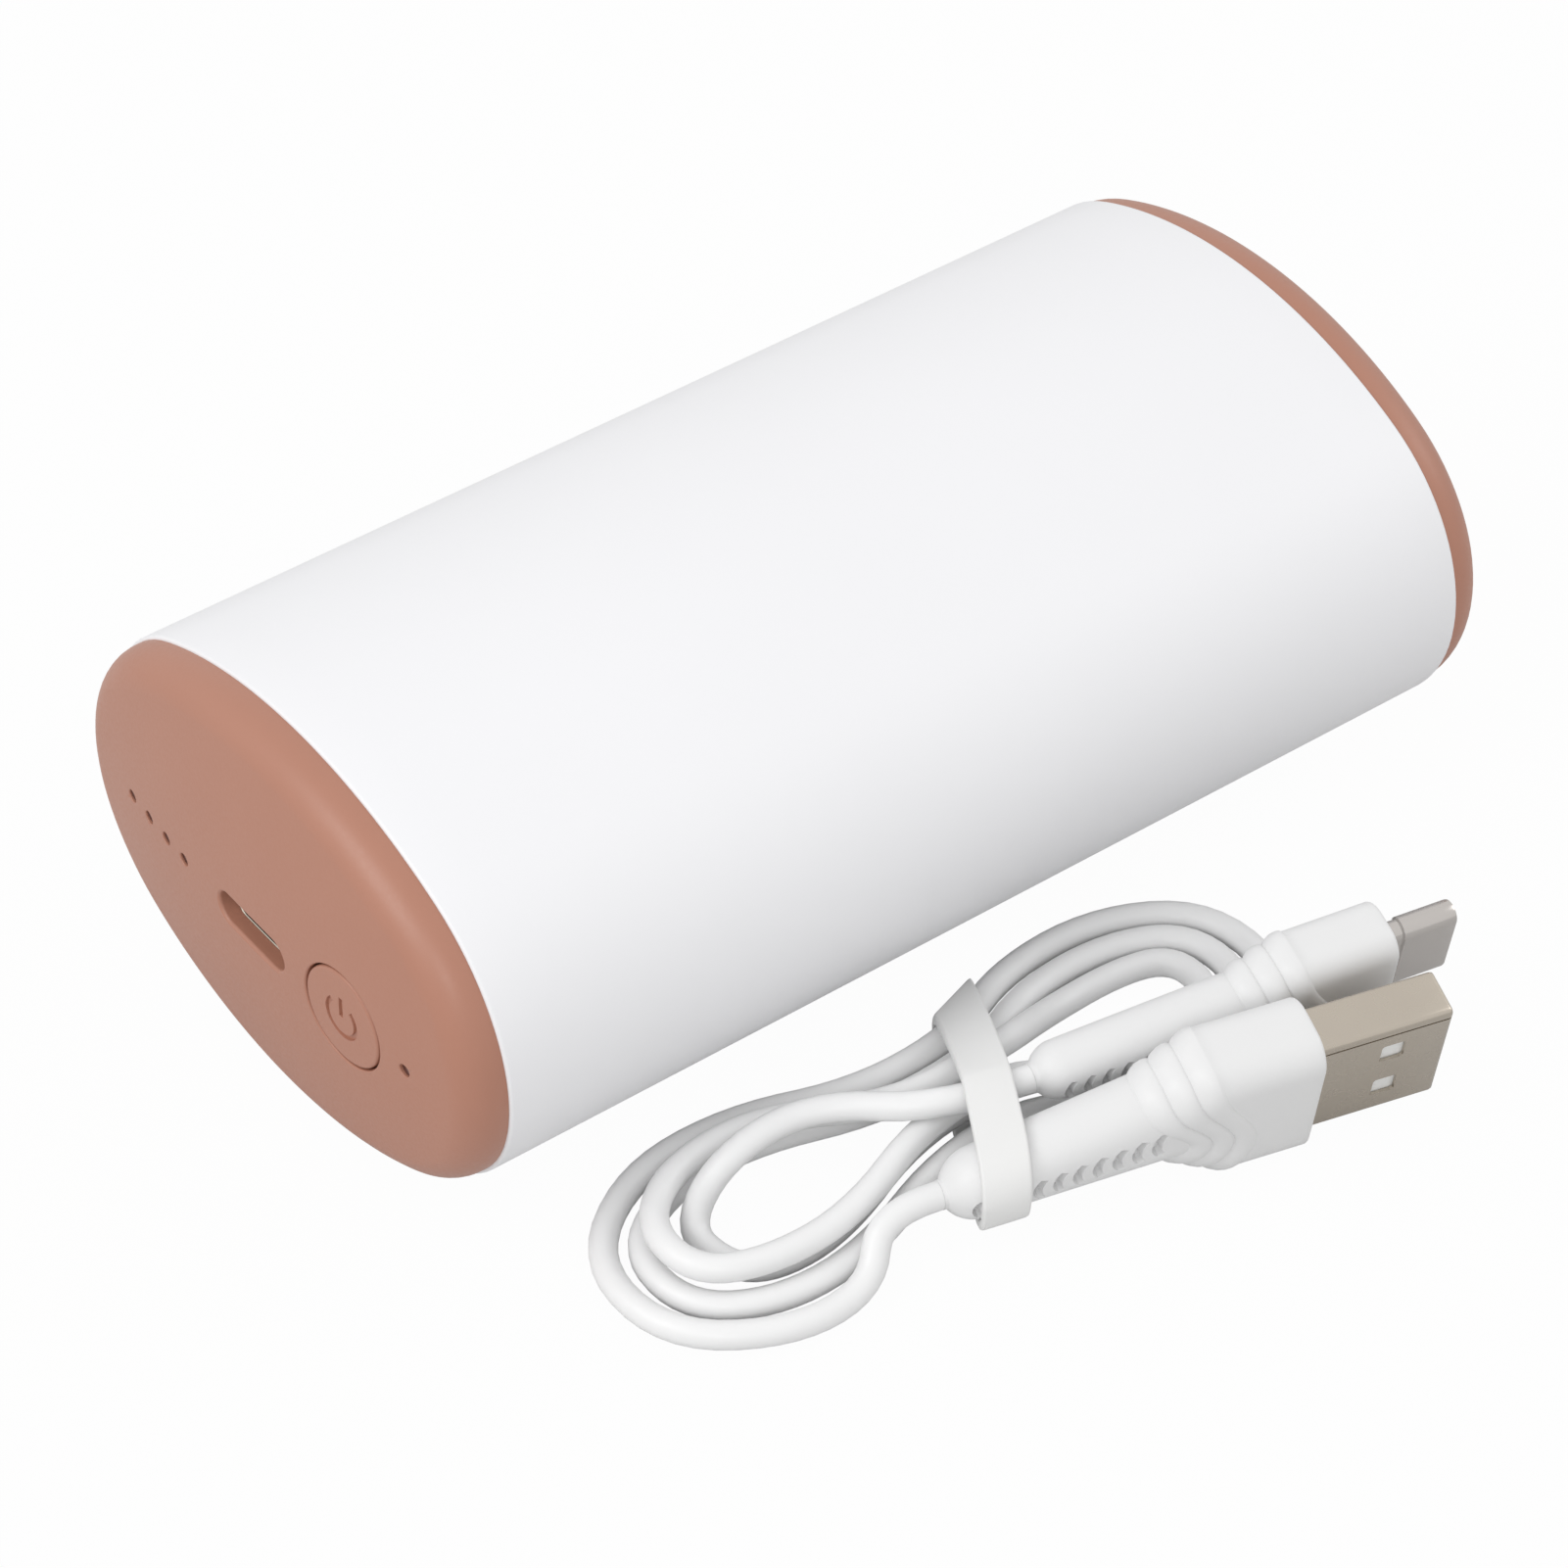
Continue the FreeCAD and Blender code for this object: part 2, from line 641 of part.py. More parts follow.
# Charging cable: tools for its grips and its cord
def rounded_wire(width, thickness, corner, x, drop):
    """A rectangle with round corners in the plane at x, wide in Z, its middle lowered by drop."""
    y = thickness / 2
    z = width / 2
    bow = corner - corner / math.sqrt(2)
    corners = [(1, 1), (-1, 1), (-1, -1), (1, -1)]
    marks = []
    for index, (side, level) in enumerate(corners):
        along_z = Vector(x, side * y, level * (z - corner) - drop)
        along_y = Vector(x, side * (y - corner), level * z - drop)
        middle = Vector(x, side * (y - bow), level * (z - bow) - drop)
        marks.append((along_z, middle, along_y) if index % 2 == 0 else (along_y, middle, along_z))
    edges = []
    for index, (start, middle, end) in enumerate(marks):
        edges.append(Part.Arc(start, middle, end).toShape())
        edges.append(Part.LineSegment(end, marks[(index + 1) % len(marks)][0]).toShape())
    return Part.Wire(edges)


def grip_shape(width, thickness, lengths, relief_width, tail_width, tail_drop):
    """A moulded plug grip: block, ridged neck and tapered relief, from x = 0 back to the tail."""
    grip, neck, relief = lengths
    relief_thickness = (thickness + tail_width) / 2
    corner = grip_corner_share * thickness
    relief_corner = tail_corner_share * relief_thickness
    tail_corner = tail_corner_share * tail_width
    front = Part.Face(rounded_wire(width, thickness, corner, 0, 0)).extrude(Vector(-grip, 0, 0))
    waist = rounded_wire(relief_width, relief_thickness, relief_corner, -grip - neck, 0)
    shoulder = Part.makeLoft([rounded_wire(width, thickness, corner, -grip, 0), waist], True, True)
    tail = rounded_wire(tail_width, tail_width, tail_corner, -grip - neck - relief, tail_drop)
    taper = Part.makeLoft([waist, tail], True, True)
    ridges = []
    for step in range(ridge_count):
        share = (step + 1) / (ridge_count + 1)
        ridge = ridge_length_share * neck
        wide = width + (relief_width - width) * share + 2 * ridge_height
        thick = thickness + (relief_thickness - thickness) * share + 2 * ridge_height
        start = rounded_wire(wide, thick, grip_corner_share * thick, -grip - neck * share + ridge / 2, 0)
        ridges.append(Part.Face(start).extrude(Vector(-ridge, 0, 0)))
    cuts = []
    for step in range(notch_count):
        x = -grip - neck - relief * (step + 1) / (notch_count + 2)
        drop = tail_drop * (step + 1) / (notch_count + 2)
        length = notch_length_share * relief
        half = notch_width_share * tail_width / 2
        for side in (-1, 1):
            reach = side * relief_thickness / 2
            near = reach - side * notch_depth
            cuts.append(block(Vector(x - length / 2, min(near, reach + side * thickness), -half - drop),
                              Vector(x + length / 2, max(near, reach + side * thickness), half - drop)))
    return front.fuse([shoulder, taper] + ridges).cut(cuts).removeSplitter()


def lean_height(width, thickness):
    """How high a leaning grip's axis stands above what its edge rests on."""
    corner = grip_corner_share * thickness
    lean = math.radians(plug_lean_deg)
    return (width / 2 - corner) * math.cos(lean) + (thickness / 2 - corner) * math.sin(lean) + corner


def seat_plug(shape, tail_x, tail_y, axis_z, heading_deg, length):
    """Leans a plug on its edge, turns it to its heading and lays it with its tail at the given place."""
    heading = math.radians(heading_deg)
    placed = shape.copy()
    placed.rotate(Vector(0, 0, 0), Vector(1, 0, 0), plug_lean_deg)
    placed.rotate(Vector(0, 0, 0), Vector(0, 0, 1), heading_deg)
    placed.translate(Vector(tail_x + length * math.cos(heading), tail_y + length * math.sin(heading), axis_z))
    return placed


def plug_tail(tail_x, tail_y, axis_z, heading_deg, drop):
    """The middle of a seated grip's tail and the way its plug points."""
    heading = math.radians(heading_deg)
    lean = math.radians(plug_lean_deg)
    ahead = Vector(math.cos(heading), math.sin(heading), 0)
    aside = Vector(-math.sin(heading), math.cos(heading), 0)
    return Vector(tail_x, tail_y, axis_z - drop * math.cos(lean)) + aside * (drop * math.sin(lean)), ahead


def plug_shell(width, height, wall, reach, sunk, corner_share):
    outer_face = Part.Face(rounded_wire(width, height, corner_share * height, -sunk, 0))
    outer = outer_face.extrude(Vector(reach + sunk, 0, 0))
    inner_height = height - 2 * wall
    inner = rounded_wire(width - 2 * wall, inner_height, corner_share * inner_height, -sunk, 0)
    return outer.cut(Part.Face(inner).extrude(Vector(overrun, 0, 0)))


# Wide plug: folded steel shell with two windows a side, plastic tongue and moulded grip
usb_a_lengths = (usb_a_grip_length, usb_a_neck_length, usb_a_relief_length)
usb_a_z = lean_height(usb_a_grip_width + 2 * ridge_height, usb_a_grip_thickness + 2 * ridge_height)
usb_a_seat = (usb_a_tail_x, usb_a_tail_y, usb_a_z, usb_a_heading_deg)
usb_a_shell = plug_shell(usb_a_shell_width, usb_a_shell_height, usb_a_shell_wall, usb_a_shell_reach,
                         usb_a_shell_sunk, usb_a_corner_share)
windows = []
for side in (-1, 1):
    middle = side * usb_a_window_spacing / 2
    windows.append(block(Vector(usb_a_window_setback, -usb_a_shell_height, middle - usb_a_window / 2),
                         Vector(usb_a_window_setback + usb_a_window, usb_a_shell_height,
                                middle + usb_a_window / 2)))
usb_a_room = Part.Face(rounded_wire(usb_a_shell_width, usb_a_shell_height,
                                    usb_a_corner_share * usb_a_shell_height,
                                    -usb_a_shell_sunk, 0)).extrude(Vector(overrun, 0, 0))
tongue_half = usb_a_shell_width / 2 - usb_a_shell_wall - usb_a_corner_share * usb_a_shell_height
tongue_side = usb_a_shell_height / 2 - usb_a_shell_wall - plug_fit_gap
usb_a_tongue = block(Vector(-usb_a_shell_sunk, -tongue_side, -tongue_half),
                     Vector(usb_a_shell_reach - usb_a_tongue_setback,
                            usb_a_tongue_height - tongue_side, tongue_half))
usb_a_grip = grip_shape(usb_a_grip_width, usb_a_grip_thickness, usb_a_lengths, usb_a_relief_width,
                        usb_a_tail_width, usb_a_tail_drop)
for name, shape in (("usb_a_shell", usb_a_shell.cut(windows)), ("usb_a_tongue", usb_a_tongue),
                    ("usb_a_overmold", usb_a_grip.cut(usb_a_room))):
    keep(name, seat_plug(shape, *usb_a_seat, sum(usb_a_lengths)), 0)

# Small plug: drawn steel shell with a round-ended mouth, it lies on the hank's near run
usb_c_lengths = (usb_c_grip_length, usb_c_neck_length, usb_c_relief_length)
usb_c_z = cord_diameter + tie_gap + lean_height(usb_c_grip_width + 2 * ridge_height,
                                                 usb_c_grip_thickness + 2 * ridge_height)
usb_c_seat = (usb_c_tail_x, usb_c_tail_y, usb_c_z, usb_c_heading_deg)
usb_c_shell = plug_shell(usb_c_shell_width, usb_c_shell_height, usb_c_shell_wall, usb_c_shell_reach,
                         usb_c_shell_sunk, usb_c_corner_share)
usb_c_room = Part.Face(rounded_wire(usb_c_shell_width, usb_c_shell_height,
                                    usb_c_corner_share * usb_c_shell_height,
                                    -usb_c_shell_sunk, 0)).extrude(Vector(overrun, 0, 0))
insert_height = usb_c_shell_height - 2 * usb_c_shell_wall - 2 * plug_fit_gap
insert_width = usb_c_shell_width - 2 * usb_c_shell_wall - 2 * plug_fit_gap
insert_face = Part.Face(rounded_wire(insert_width, insert_height, usb_c_corner_share * insert_height,
                                     -usb_c_shell_sunk, 0))
insert = insert_face.extrude(Vector(usb_c_shell_sunk + usb_c_shell_reach - usb_c_tongue_setback, 0, 0))
mouth = block(Vector(0, -usb_c_tongue_height / 2, insert_height - insert_width / 2),
              Vector(overrun, usb_c_tongue_height / 2, insert_width / 2 - insert_height))
usb_c_grip = grip_shape(usb_c_grip_width, usb_c_grip_thickness, usb_c_lengths, usb_c_relief_width,
                        usb_c_tail_width, usb_c_tail_drop)
for name, shape in (("usb_c_shell", usb_c_shell), ("usb_c_tongue", insert.cut(mouth)),
                    ("usb_c_overmold", usb_c_grip.cut(usb_c_room))):
    keep(name, seat_plug(shape, *usb_c_seat, sum(usb_c_lengths)), 0)


# Cord: eight marks a turn, wound inwards from the wide plug, with one turn and the last run on top
def hank_place(u, v, z):
    turn = math.radians(hank_turn_deg)
    return Vector(hank_x + u * math.cos(turn) - v * math.sin(turn),
                  hank_y + u * math.sin(turn) + v * math.cos(turn), z)


def hank_way(u, v):
    return hank_place(u, v, 0) - hank_place(0, 0, 0)


def hank_mark(step):
    """Place and heading of one mark: waist, lobe peak, lobe end and lobe peak in turn."""
    half_turn, phase = divmod(step, 4)
    if phase == 0:
        level = 1 if half_turn % 2 else -1
        z = cord_radius + waist_rise * waist_layers[half_turn - 1] + waist_lift
        return hank_place(0, strand_step * waist_shares[half_turn - 1], z), hank_way(level, 0)
    left = half_turn % 2 == 0
    side = -1 if left else 1
    lobe = half_turn // 2
    last = half_turn == len(waist_shares)
    layer = left_layers[lobe] if left else 0
    inset = strand_step * (left_inset_shares[lobe] if left else right_step_share * lobe)
    z = cord_radius + layer_rise * layer
    if phase == 2:
        reach = lobe_length - inset - (last_lobe_pull if last else 0)
        return hank_place(side * reach, 0, z), hank_way(0, -side)
    if phase == 3 and last:
        return hank_place(-last_peak_back, last_peak_across, cord_radius + 2 * layer_rise), hank_way(1, 0)
    level = side if phase == 1 else -side
    half = (left_lobe_half_width if left else right_lobe_half_width) - inset
    return hank_place(side * lobe_peak, level * half + top_turn_shift * layer, z), hank_way(level, 0)


def biarc(start, start_way, end, end_way):
    """Two tangent arcs from one mark to the next."""
    span = end - start
    both = start_way + end_way
    bend = 2 * (1 - start_way.dot(end_way))
    pull = span.dot(both)
    if bend < straight_limit ** 2:
        arm = span.dot(span) / (4 * span.dot(end_way))
    else:
        arm = (math.sqrt(pull ** 2 + bend * span.dot(span)) - pull) / bend
    first = start + start_way * arm
    last = end - end_way * arm
    joint = (first + last) / 2
    return [arc_edge(start, first, joint), arc_edge(joint, last, end)]


def arc_edge(start, corner, end):
    chord = (start + end) / 2
    half = (corner - start).getAngle(end - start)
    if half < straight_limit:
        return Part.LineSegment(start, end).toShape()
    middle = chord + (corner - chord) * (math.tan(half / 2) / math.tan(half))
    return Part.Arc(start, middle, end).toShape()


steps = 4 * (len(waist_shares) + 1)
marks = [hank_mark(step) for step in range(1, steps)]
wide_tail, wide_way = plug_tail(*usb_a_seat, usb_a_tail_drop)
small_tail, small_way = plug_tail(*usb_c_seat, usb_c_tail_drop)
first_end = wide_tail - wide_way * cord_diameter
last_start = small_tail - small_way * cord_diameter
marks = [(first_end, wide_way * -1)] + marks + [(last_start, small_way)]
edges = [Part.LineSegment(wide_tail, first_end).toShape()]
for (start, start_way), (end, end_way) in zip(marks, marks[1:]):
    edges += biarc(start, start_way, end, end_way)
edges.append(Part.LineSegment(last_start, small_tail).toShape())
cord_path = Part.Wire(edges)
section = Part.Wire(Part.makeCircle(cord_radius, wide_tail, wide_way))
charging_cord = cord_path.makePipeShell([section], True, False)
keep("charging_cord", charging_cord, 0)


def least_gap(path_edges):
    """The least clear space between stretches of the cord that are not neighbours."""
    walked = 0
    samples = []
    for edge in path_edges:
        spots = edge.discretize(gap_samples)
        for index, spot in enumerate(spots[:-1]):
            samples.append((walked + edge.Length * index / (gap_samples - 1), spot))
        walked += edge.Length
    best = (overrun, None, None)
    for index, (at, spot) in enumerate(samples):
        for later, other in samples[index + 1:]:
            if later - at > 4 * cord_diameter:
                gap = spot.distanceToPoint(other) - cord_diameter
                best = min(best, (gap, at, later), key=lambda found: found[0])
    return best


gap, here, there = least_gap(edges)
radii = [edge.Curve.Radius for edge in edges if not isinstance(edge.Curve, Part.Line)]
print("cord length %.1f, tightest bend %.2f, least gap to itself %.2f at %.0f and %.0f"
      % (cord_path.Length, min(radii), gap, here, there))
print("cord volume over section times length %.4f"
      % (charging_cord.Volume / (math.pi * cord_radius ** 2 * cord_path.Length)))


# Tie: a flat strap drawn round the waist's strands and the wide plug's tail
def tie_place(u, v, z):
    turn = math.radians(tie_turn_deg)
    return hank_place(u * math.cos(turn) - v * math.sin(turn), u * math.sin(turn) + v * math.cos(turn), z)


def tie_axes(spot):
    """A spot as distances along and across the strap's turned axes, and its height."""
    across = tie_place(0, 1, 0) - tie_place(0, 0, 0)
    along = tie_place(1, 0, 0) - tie_place(0, 0, 0)
    offset = spot - tie_place(0, 0, 0)
    return offset.dot(along), offset.dot(across), offset.z


def belt_wire(rounds, spare, u):
    """The outline of a band pulled tight round discs of the plane at u, each (across, height, radius)."""
    order = []
    for check in range(tie_checks):
        way = math.radians(360 * check / tie_checks)
        reach = [v * math.cos(way) + z * math.sin(way) + radius for v, z, radius in rounds]
        outermost = rounds[reach.index(max(reach))]
        if not order or order[-1] != outermost:
            order.append(outermost)
    if order[0] == order[-1]:
        order.pop()
    normals = []
    for (v, z, radius), (next_v, next_z, next_radius) in zip(order, order[1:] + order[:1]):
        span = math.hypot(next_v - v, next_z - z)
        swing = math.asin((radius - next_radius) / span)
        normals.append(math.atan2(next_z - z, next_v - v) - math.pi / 2 + swing)
    edges = []
    for index, (v, z, radius) in enumerate(order):
        start = normals[index - 1]
        turn = (normals[index] - start) % (2 * math.pi)
        spots = [tie_place(u, v + (radius + spare) * math.cos(start + turn * share),
                           z + (radius + spare) * math.sin(start + turn * share)) for share in (0, 0.5, 1)]
        if edges:
            edges.append(Part.LineSegment(edges[-1].Vertexes[-1].Point, spots[0]).toShape())
        edges.append(Part.Arc(*spots).toShape())
    edges.append(Part.LineSegment(edges[-1].Vertexes[-1].Point, edges[0].Vertexes[0].Point).toShape())
    return Part.Wire(edges)


relief_spread = (usb_a_relief_width - usb_a_tail_width) / 2
tail_u, tail_v, tail_z = tie_axes(wide_tail)
ahead_u, ahead_v, ahead_z = tie_axes(wide_tail + wide_way)
strands = []
for edge_u in (-tie_width / 2, 0, tie_width / 2):
    for edge in edges:
        spots = [tie_axes(spot) for spot in edge.discretize(gap_samples)]
        for (u, v, z), (next_u, next_v, next_z) in zip(spots, spots[1:]):
            if min(u, next_u) <= edge_u < max(u, next_u):
                share = (edge_u - u) / (next_u - u)
                slant = math.hypot(next_u - u, next_v - v) / abs(next_u - u)
                strands.append((v + (next_v - v) * share, z + (next_z - z) * share, cord_radius * slant))
    along = (edge_u - tail_u) / (ahead_u - tail_u)
    taper_share = along / usb_a_relief_length
    tail_radius = usb_a_tail_width / 2 + relief_spread * taper_share + tie_gap
    strands.append((tail_v + (ahead_v - tail_v) * along, tail_z + usb_a_tail_drop * taper_share, tail_radius))
band = Part.Face(belt_wire(strands, tie_gap + tie_thickness, -tie_width / 2))
hole = Part.Face(belt_wire(strands, tie_gap, -tie_width / 2))
tie_way = tie_place(tie_width, 0, 0) - tie_place(0, 0, 0)
keep("cord_tie", band.extrude(tie_way).cut(hole.extrude(tie_way)), 0)
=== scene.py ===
import bpy, bmesh
from math import atan2, cos, exp, pi, radians, sin, sqrt, tan
from mathutils import Matrix, Vector


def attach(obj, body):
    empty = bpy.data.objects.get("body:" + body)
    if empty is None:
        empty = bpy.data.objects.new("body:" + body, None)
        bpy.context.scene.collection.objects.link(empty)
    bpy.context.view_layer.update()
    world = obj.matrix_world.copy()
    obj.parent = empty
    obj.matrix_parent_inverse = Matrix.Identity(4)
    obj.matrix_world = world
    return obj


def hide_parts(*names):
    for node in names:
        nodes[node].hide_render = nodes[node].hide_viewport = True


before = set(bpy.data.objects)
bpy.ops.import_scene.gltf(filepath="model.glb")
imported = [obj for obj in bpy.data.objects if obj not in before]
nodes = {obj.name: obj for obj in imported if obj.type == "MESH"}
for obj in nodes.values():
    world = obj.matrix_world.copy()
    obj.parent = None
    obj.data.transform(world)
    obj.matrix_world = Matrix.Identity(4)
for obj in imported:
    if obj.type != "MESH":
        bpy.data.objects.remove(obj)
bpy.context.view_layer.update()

mm = 0.001


# Cells: two 18650 steel cans side by side in shrink film.
# The film is thin PVC, drawn tight by heat, so it has a soft gloss and faint wrinkles.
def hex_colour(text):
    """An sRGB hex value as the linear colour that a shader takes."""
    parts = [int(text[i:i + 2], 16) / 255 for i in (0, 2, 4)]
    return tuple(c / 12.92 if c <= 0.04045 else ((c + 0.055) / 1.055) ** 2.4 for c in parts) + (1.0,)


def add_node(tree, kind, inputs=None, **settings):
    """Adds a node, sets its settings, and links or sets its inputs."""
    node = tree.nodes.new(kind)
    for name, value in settings.items():
        setattr(node, name, value)
    for socket, value in (inputs or {}).items():
        if isinstance(value, bpy.types.NodeSocket):
            tree.links.new(value, node.inputs[socket])
        else:
            node.inputs[socket].default_value = value
    return node


def new_material(name, **sockets):
    """A material with one Principled shader, its sockets set by name, and the tree to build on."""
    material = bpy.data.materials.new(name)
    material.use_nodes = True
    shader = material.node_tree.nodes["Principled BSDF"]
    for socket, value in sockets.items():
        shader.inputs[socket.replace("_", " ")].default_value = value
    return material, material.node_tree, shader


def mottle(tree, shader, tone, other, grain, rough, bump, patch=12 * mm):
    """Two close tones in soft patches, and a fine grain that sets the roughness and stands in relief."""
    place = add_node(tree, "ShaderNodeTexCoord").outputs["Object"]
    patches = add_node(tree, "ShaderNodeTexNoise", {"Vector": place, "Scale": 1 / patch, "Detail": 3.0})
    tones = {0: patches.outputs["Fac"], 6: hex_colour(tone), 7: hex_colour(other)}
    shade = add_node(tree, "ShaderNodeMix", tones, data_type="RGBA")
    specks = add_node(tree, "ShaderNodeTexNoise", {"Vector": place, "Scale": 1 / grain, "Detail": 2.0})
    speck = specks.outputs["Fac"]
    spread = {"Value": speck, "From Min": 0.3, "From Max": 0.7, "To Min": rough[0], "To Max": rough[1]}
    gloss = add_node(tree, "ShaderNodeMapRange", spread)
    relief = add_node(tree, "ShaderNodeBump", {"Height": speck, "Distance": bump, "Strength": 1.0})
    tree.links.new(shade.outputs[2], shader.inputs["Base Color"])
    tree.links.new(gloss.outputs["Result"], shader.inputs["Roughness"])
    tree.links.new(relief.outputs["Normal"], shader.inputs["Normal"])


def dress(material, *names):
    """Puts a material on CAD nodes that stay as they are."""
    for name in names:
        nodes[name].data.materials.clear()
        nodes[name].data.materials.append(material)


shrink_film, tree, shader = new_material("shrink_film", IOR=1.53)
mottle(tree, shader, "2f5f9e", "2a568f", 0.8 * mm, (0.25, 0.35), 0.02 * mm)
dress(shrink_film, "cell_left", "cell_right")


# Cell strips: nickel ribbon spot-welded across the cell ends.
# Rolled nickel has a fine grain across the roll and a warm grey colour.
nickel_ribbon, tree, shader = new_material("nickel_ribbon", Metallic=1.0)
mottle(tree, shader, "b9b4a8", "aaa598", 0.3 * mm, (0.28, 0.42), 0.004 * mm)
dress(nickel_ribbon, "front_cell_strip", "rear_cell_strip")


# Inner frame: two moulded ABS halves that clip round the cells and carry the board.
# Dark ABS straight from a spark-eroded mould, so it is matt with a fine even grain.
frame_abs, tree, shader = new_material("frame_abs", IOR=1.54)
mottle(tree, shader, "39393b", "343436", 0.25 * mm, (0.55, 0.68), 0.01 * mm)
dress(frame_abs, "lower_frame", "upper_frame")


# Screws: zinc-plated pan heads for the frame halves and the board.
# Bright zinc is a cool pale grey metal with faint passivation patches.
zinc_plate, tree, shader = new_material("zinc_plate", Metallic=1.0)
mottle(tree, shader, "b4b7b8", "a5a8ab", 0.2 * mm, (0.22, 0.36), 0.003 * mm)
dress(zinc_plate, "frame_screws", "board_screws")


# Circuit board: glass-epoxy laminate under green solder mask.
# The mask is a glossy lacquer that shows the copper tracks beneath as lighter lines.
track_pitch, track_height = 8 * mm, 0.02 * mm
solder_mask, tree, shader = new_material("solder_mask", IOR=1.55, Roughness=0.3)
place = add_node(tree, "ShaderNodeTexCoord").outputs["Object"]
greens = {"Color1": hex_colour("1d6b3a"), "Color2": hex_colour("18592f"), "Mortar": hex_colour("2f8a50")}
layout = {"Vector": place, "Scale": 1 / track_pitch, "Mortar Size": 0.03}
tracks = add_node(tree, "ShaderNodeTexBrick", {**layout, **greens})
relief = add_node(tree, "ShaderNodeBump", {"Height": tracks.outputs["Fac"], "Distance": track_height})
tree.links.new(tracks.outputs["Color"], shader.inputs["Base Color"])
tree.links.new(relief.outputs["Normal"], shader.inputs["Normal"])
dress(solder_mask, "main_board")


# Parts on the board: black moulded packages, a ferrite choke, cream headers and side-view diodes.
# Packages are filled epoxy, ferrite is a pressed ceramic, and the headers are natural nylon.
package_epoxy, tree, shader = new_material("package_epoxy", IOR=1.55)
mottle(tree, shader, "161617", "1b1b1c", 0.15 * mm, (0.4, 0.55), 0.006 * mm)
dress(package_epoxy, "control_chips", "switch_body", "thermistor", "usb_port_tongue", "usb_c_tongue")

ferrite, tree, shader = new_material("ferrite", IOR=1.8)
mottle(tree, shader, "3c3c3e", "323234", 0.2 * mm, (0.5, 0.7), 0.012 * mm)
dress(ferrite, "power_inductor")

header_nylon, tree, shader = new_material("header_nylon", IOR=1.53)
mottle(tree, shader, "e6dfcc", "ddd5c0", 0.3 * mm, (0.4, 0.5), 0.004 * mm)
dress(header_nylon, "battery_connector", "heater_connector", "switch_plunger")

diode_resin, tree, shader = new_material("diode_resin", IOR=1.5)
mottle(tree, shader, "efe6b4", "e8dca0", 0.2 * mm, (0.15, 0.25), 0.002 * mm)
dress(diode_resin, "indicator_leds")


# Leads: silicone-covered copper strands, two to the cells and two to the film.
# Silicone is soft and slightly dusty, with no hard highlight.
lead_silicone, tree, shader = new_material("lead_silicone", IOR=1.41)
mottle(tree, shader, "a32420", "941f1c", 0.4 * mm, (0.45, 0.6), 0.006 * mm)
dress(lead_silicone, "battery_leads", "heater_leads")


# Heating film: an etched foil between two layers of amber polyimide.
# The foil's even tracks show through the amber as darker bands.
foil_pitch, foil_height = 4 * mm, 0.02 * mm
polyimide, tree, shader = new_material("polyimide", IOR=1.7, Roughness=0.22)
place = add_node(tree, "ShaderNodeTexCoord").outputs["Object"]
bands = {"Vector": place, "Scale": pi / (20 * foil_pitch), "Distortion": 0.0}
foil = add_node(tree, "ShaderNodeTexWave", bands, wave_type="BANDS", bands_direction="X")
tint = add_node(tree, "ShaderNodeValToRGB", {"Fac": foil.outputs["Fac"]})
tint.color_ramp.elements[0].color = hex_colour("a8651c")
tint.color_ramp.elements[1].color = hex_colour("d08a2c")
tint.color_ramp.elements[0].position = 0.45
tint.color_ramp.elements[1].position = 0.55
relief = add_node(tree, "ShaderNodeBump", {"Height": foil.outputs["Fac"], "Distance": foil_height})
tree.links.new(tint.outputs["Color"], shader.inputs["Base Color"])
tree.links.new(relief.outputs["Normal"], shader.inputs["Normal"])
dress(polyimide, "heater_film")


# Heat pad: closed-cell foam that presses the film against the tube.
# The cut face shows small round cells.
bubble_size, bubble_depth = 0.6 * mm, 0.1 * mm
foam, tree, shader = new_material("closed_cell_foam", IOR=1.4, Roughness=0.85)
place = add_node(tree, "ShaderNodeTexCoord").outputs["Object"]
cells = add_node(tree, "ShaderNodeTexVoronoi", {"Vector": place, "Scale": 1 / bubble_size})
tint = add_node(tree, "ShaderNodeValToRGB", {"Fac": cells.outputs["Distance"]})
tint.color_ramp.elements[0].color = hex_colour("4a4a4c")
tint.color_ramp.elements[1].color = hex_colour("6a6a6c")
relief = add_node(tree, "ShaderNodeBump", {"Height": cells.outputs["Distance"], "Distance": bubble_depth})
tree.links.new(tint.outputs["Color"], shader.inputs["Base Color"])
tree.links.new(relief.outputs["Normal"], shader.inputs["Normal"])
dress(foam, "heat_pad")


# Heat tube: an oval aluminium extrusion, cut to length and powder coated white.
# The four arcs of its section meet smoothly, and each cut end has a small rounded rim.
tube_half, tube_wall, tube_rim = 50 * mm, 1.2 * mm, 0.3 * mm
tube_wide, tube_high, tube_round = 29.4 * mm, 19.55 * mm, 16.6957 * mm
axis_z = tube_high
crease = radians(38)


def oval_outline():
    """Points (y, z) and outward normals round the tube's section, the same count on every ring."""
    end_steps, side_steps = 30, 66
    end_y = tube_wide - tube_round
    side_radius = (end_y ** 2 + tube_high ** 2 - tube_round ** 2) / (2 * (tube_high - tube_round))
    side_z = side_radius - tube_high
    joint = atan2(side_z, end_y)
    arcs = (((end_y, 0), tube_round, -joint, joint, end_steps),
            ((0, -side_z), side_radius, joint, pi - joint, side_steps),
            ((-end_y, 0), tube_round, pi - joint, pi + joint, end_steps),
            ((0, side_z), side_radius, pi + joint, 2 * pi - joint, side_steps))
    spots = []
    for (middle_y, middle_z), radius, start, end, count in arcs:
        for step in range(count):
            turn = start + (end - start) * step / count
            out_y, out_z = cos(turn), sin(turn)
            spots.append((middle_y + radius * out_y, middle_z + radius * out_z, out_y, out_z))
    return spots


outline = oval_outline()


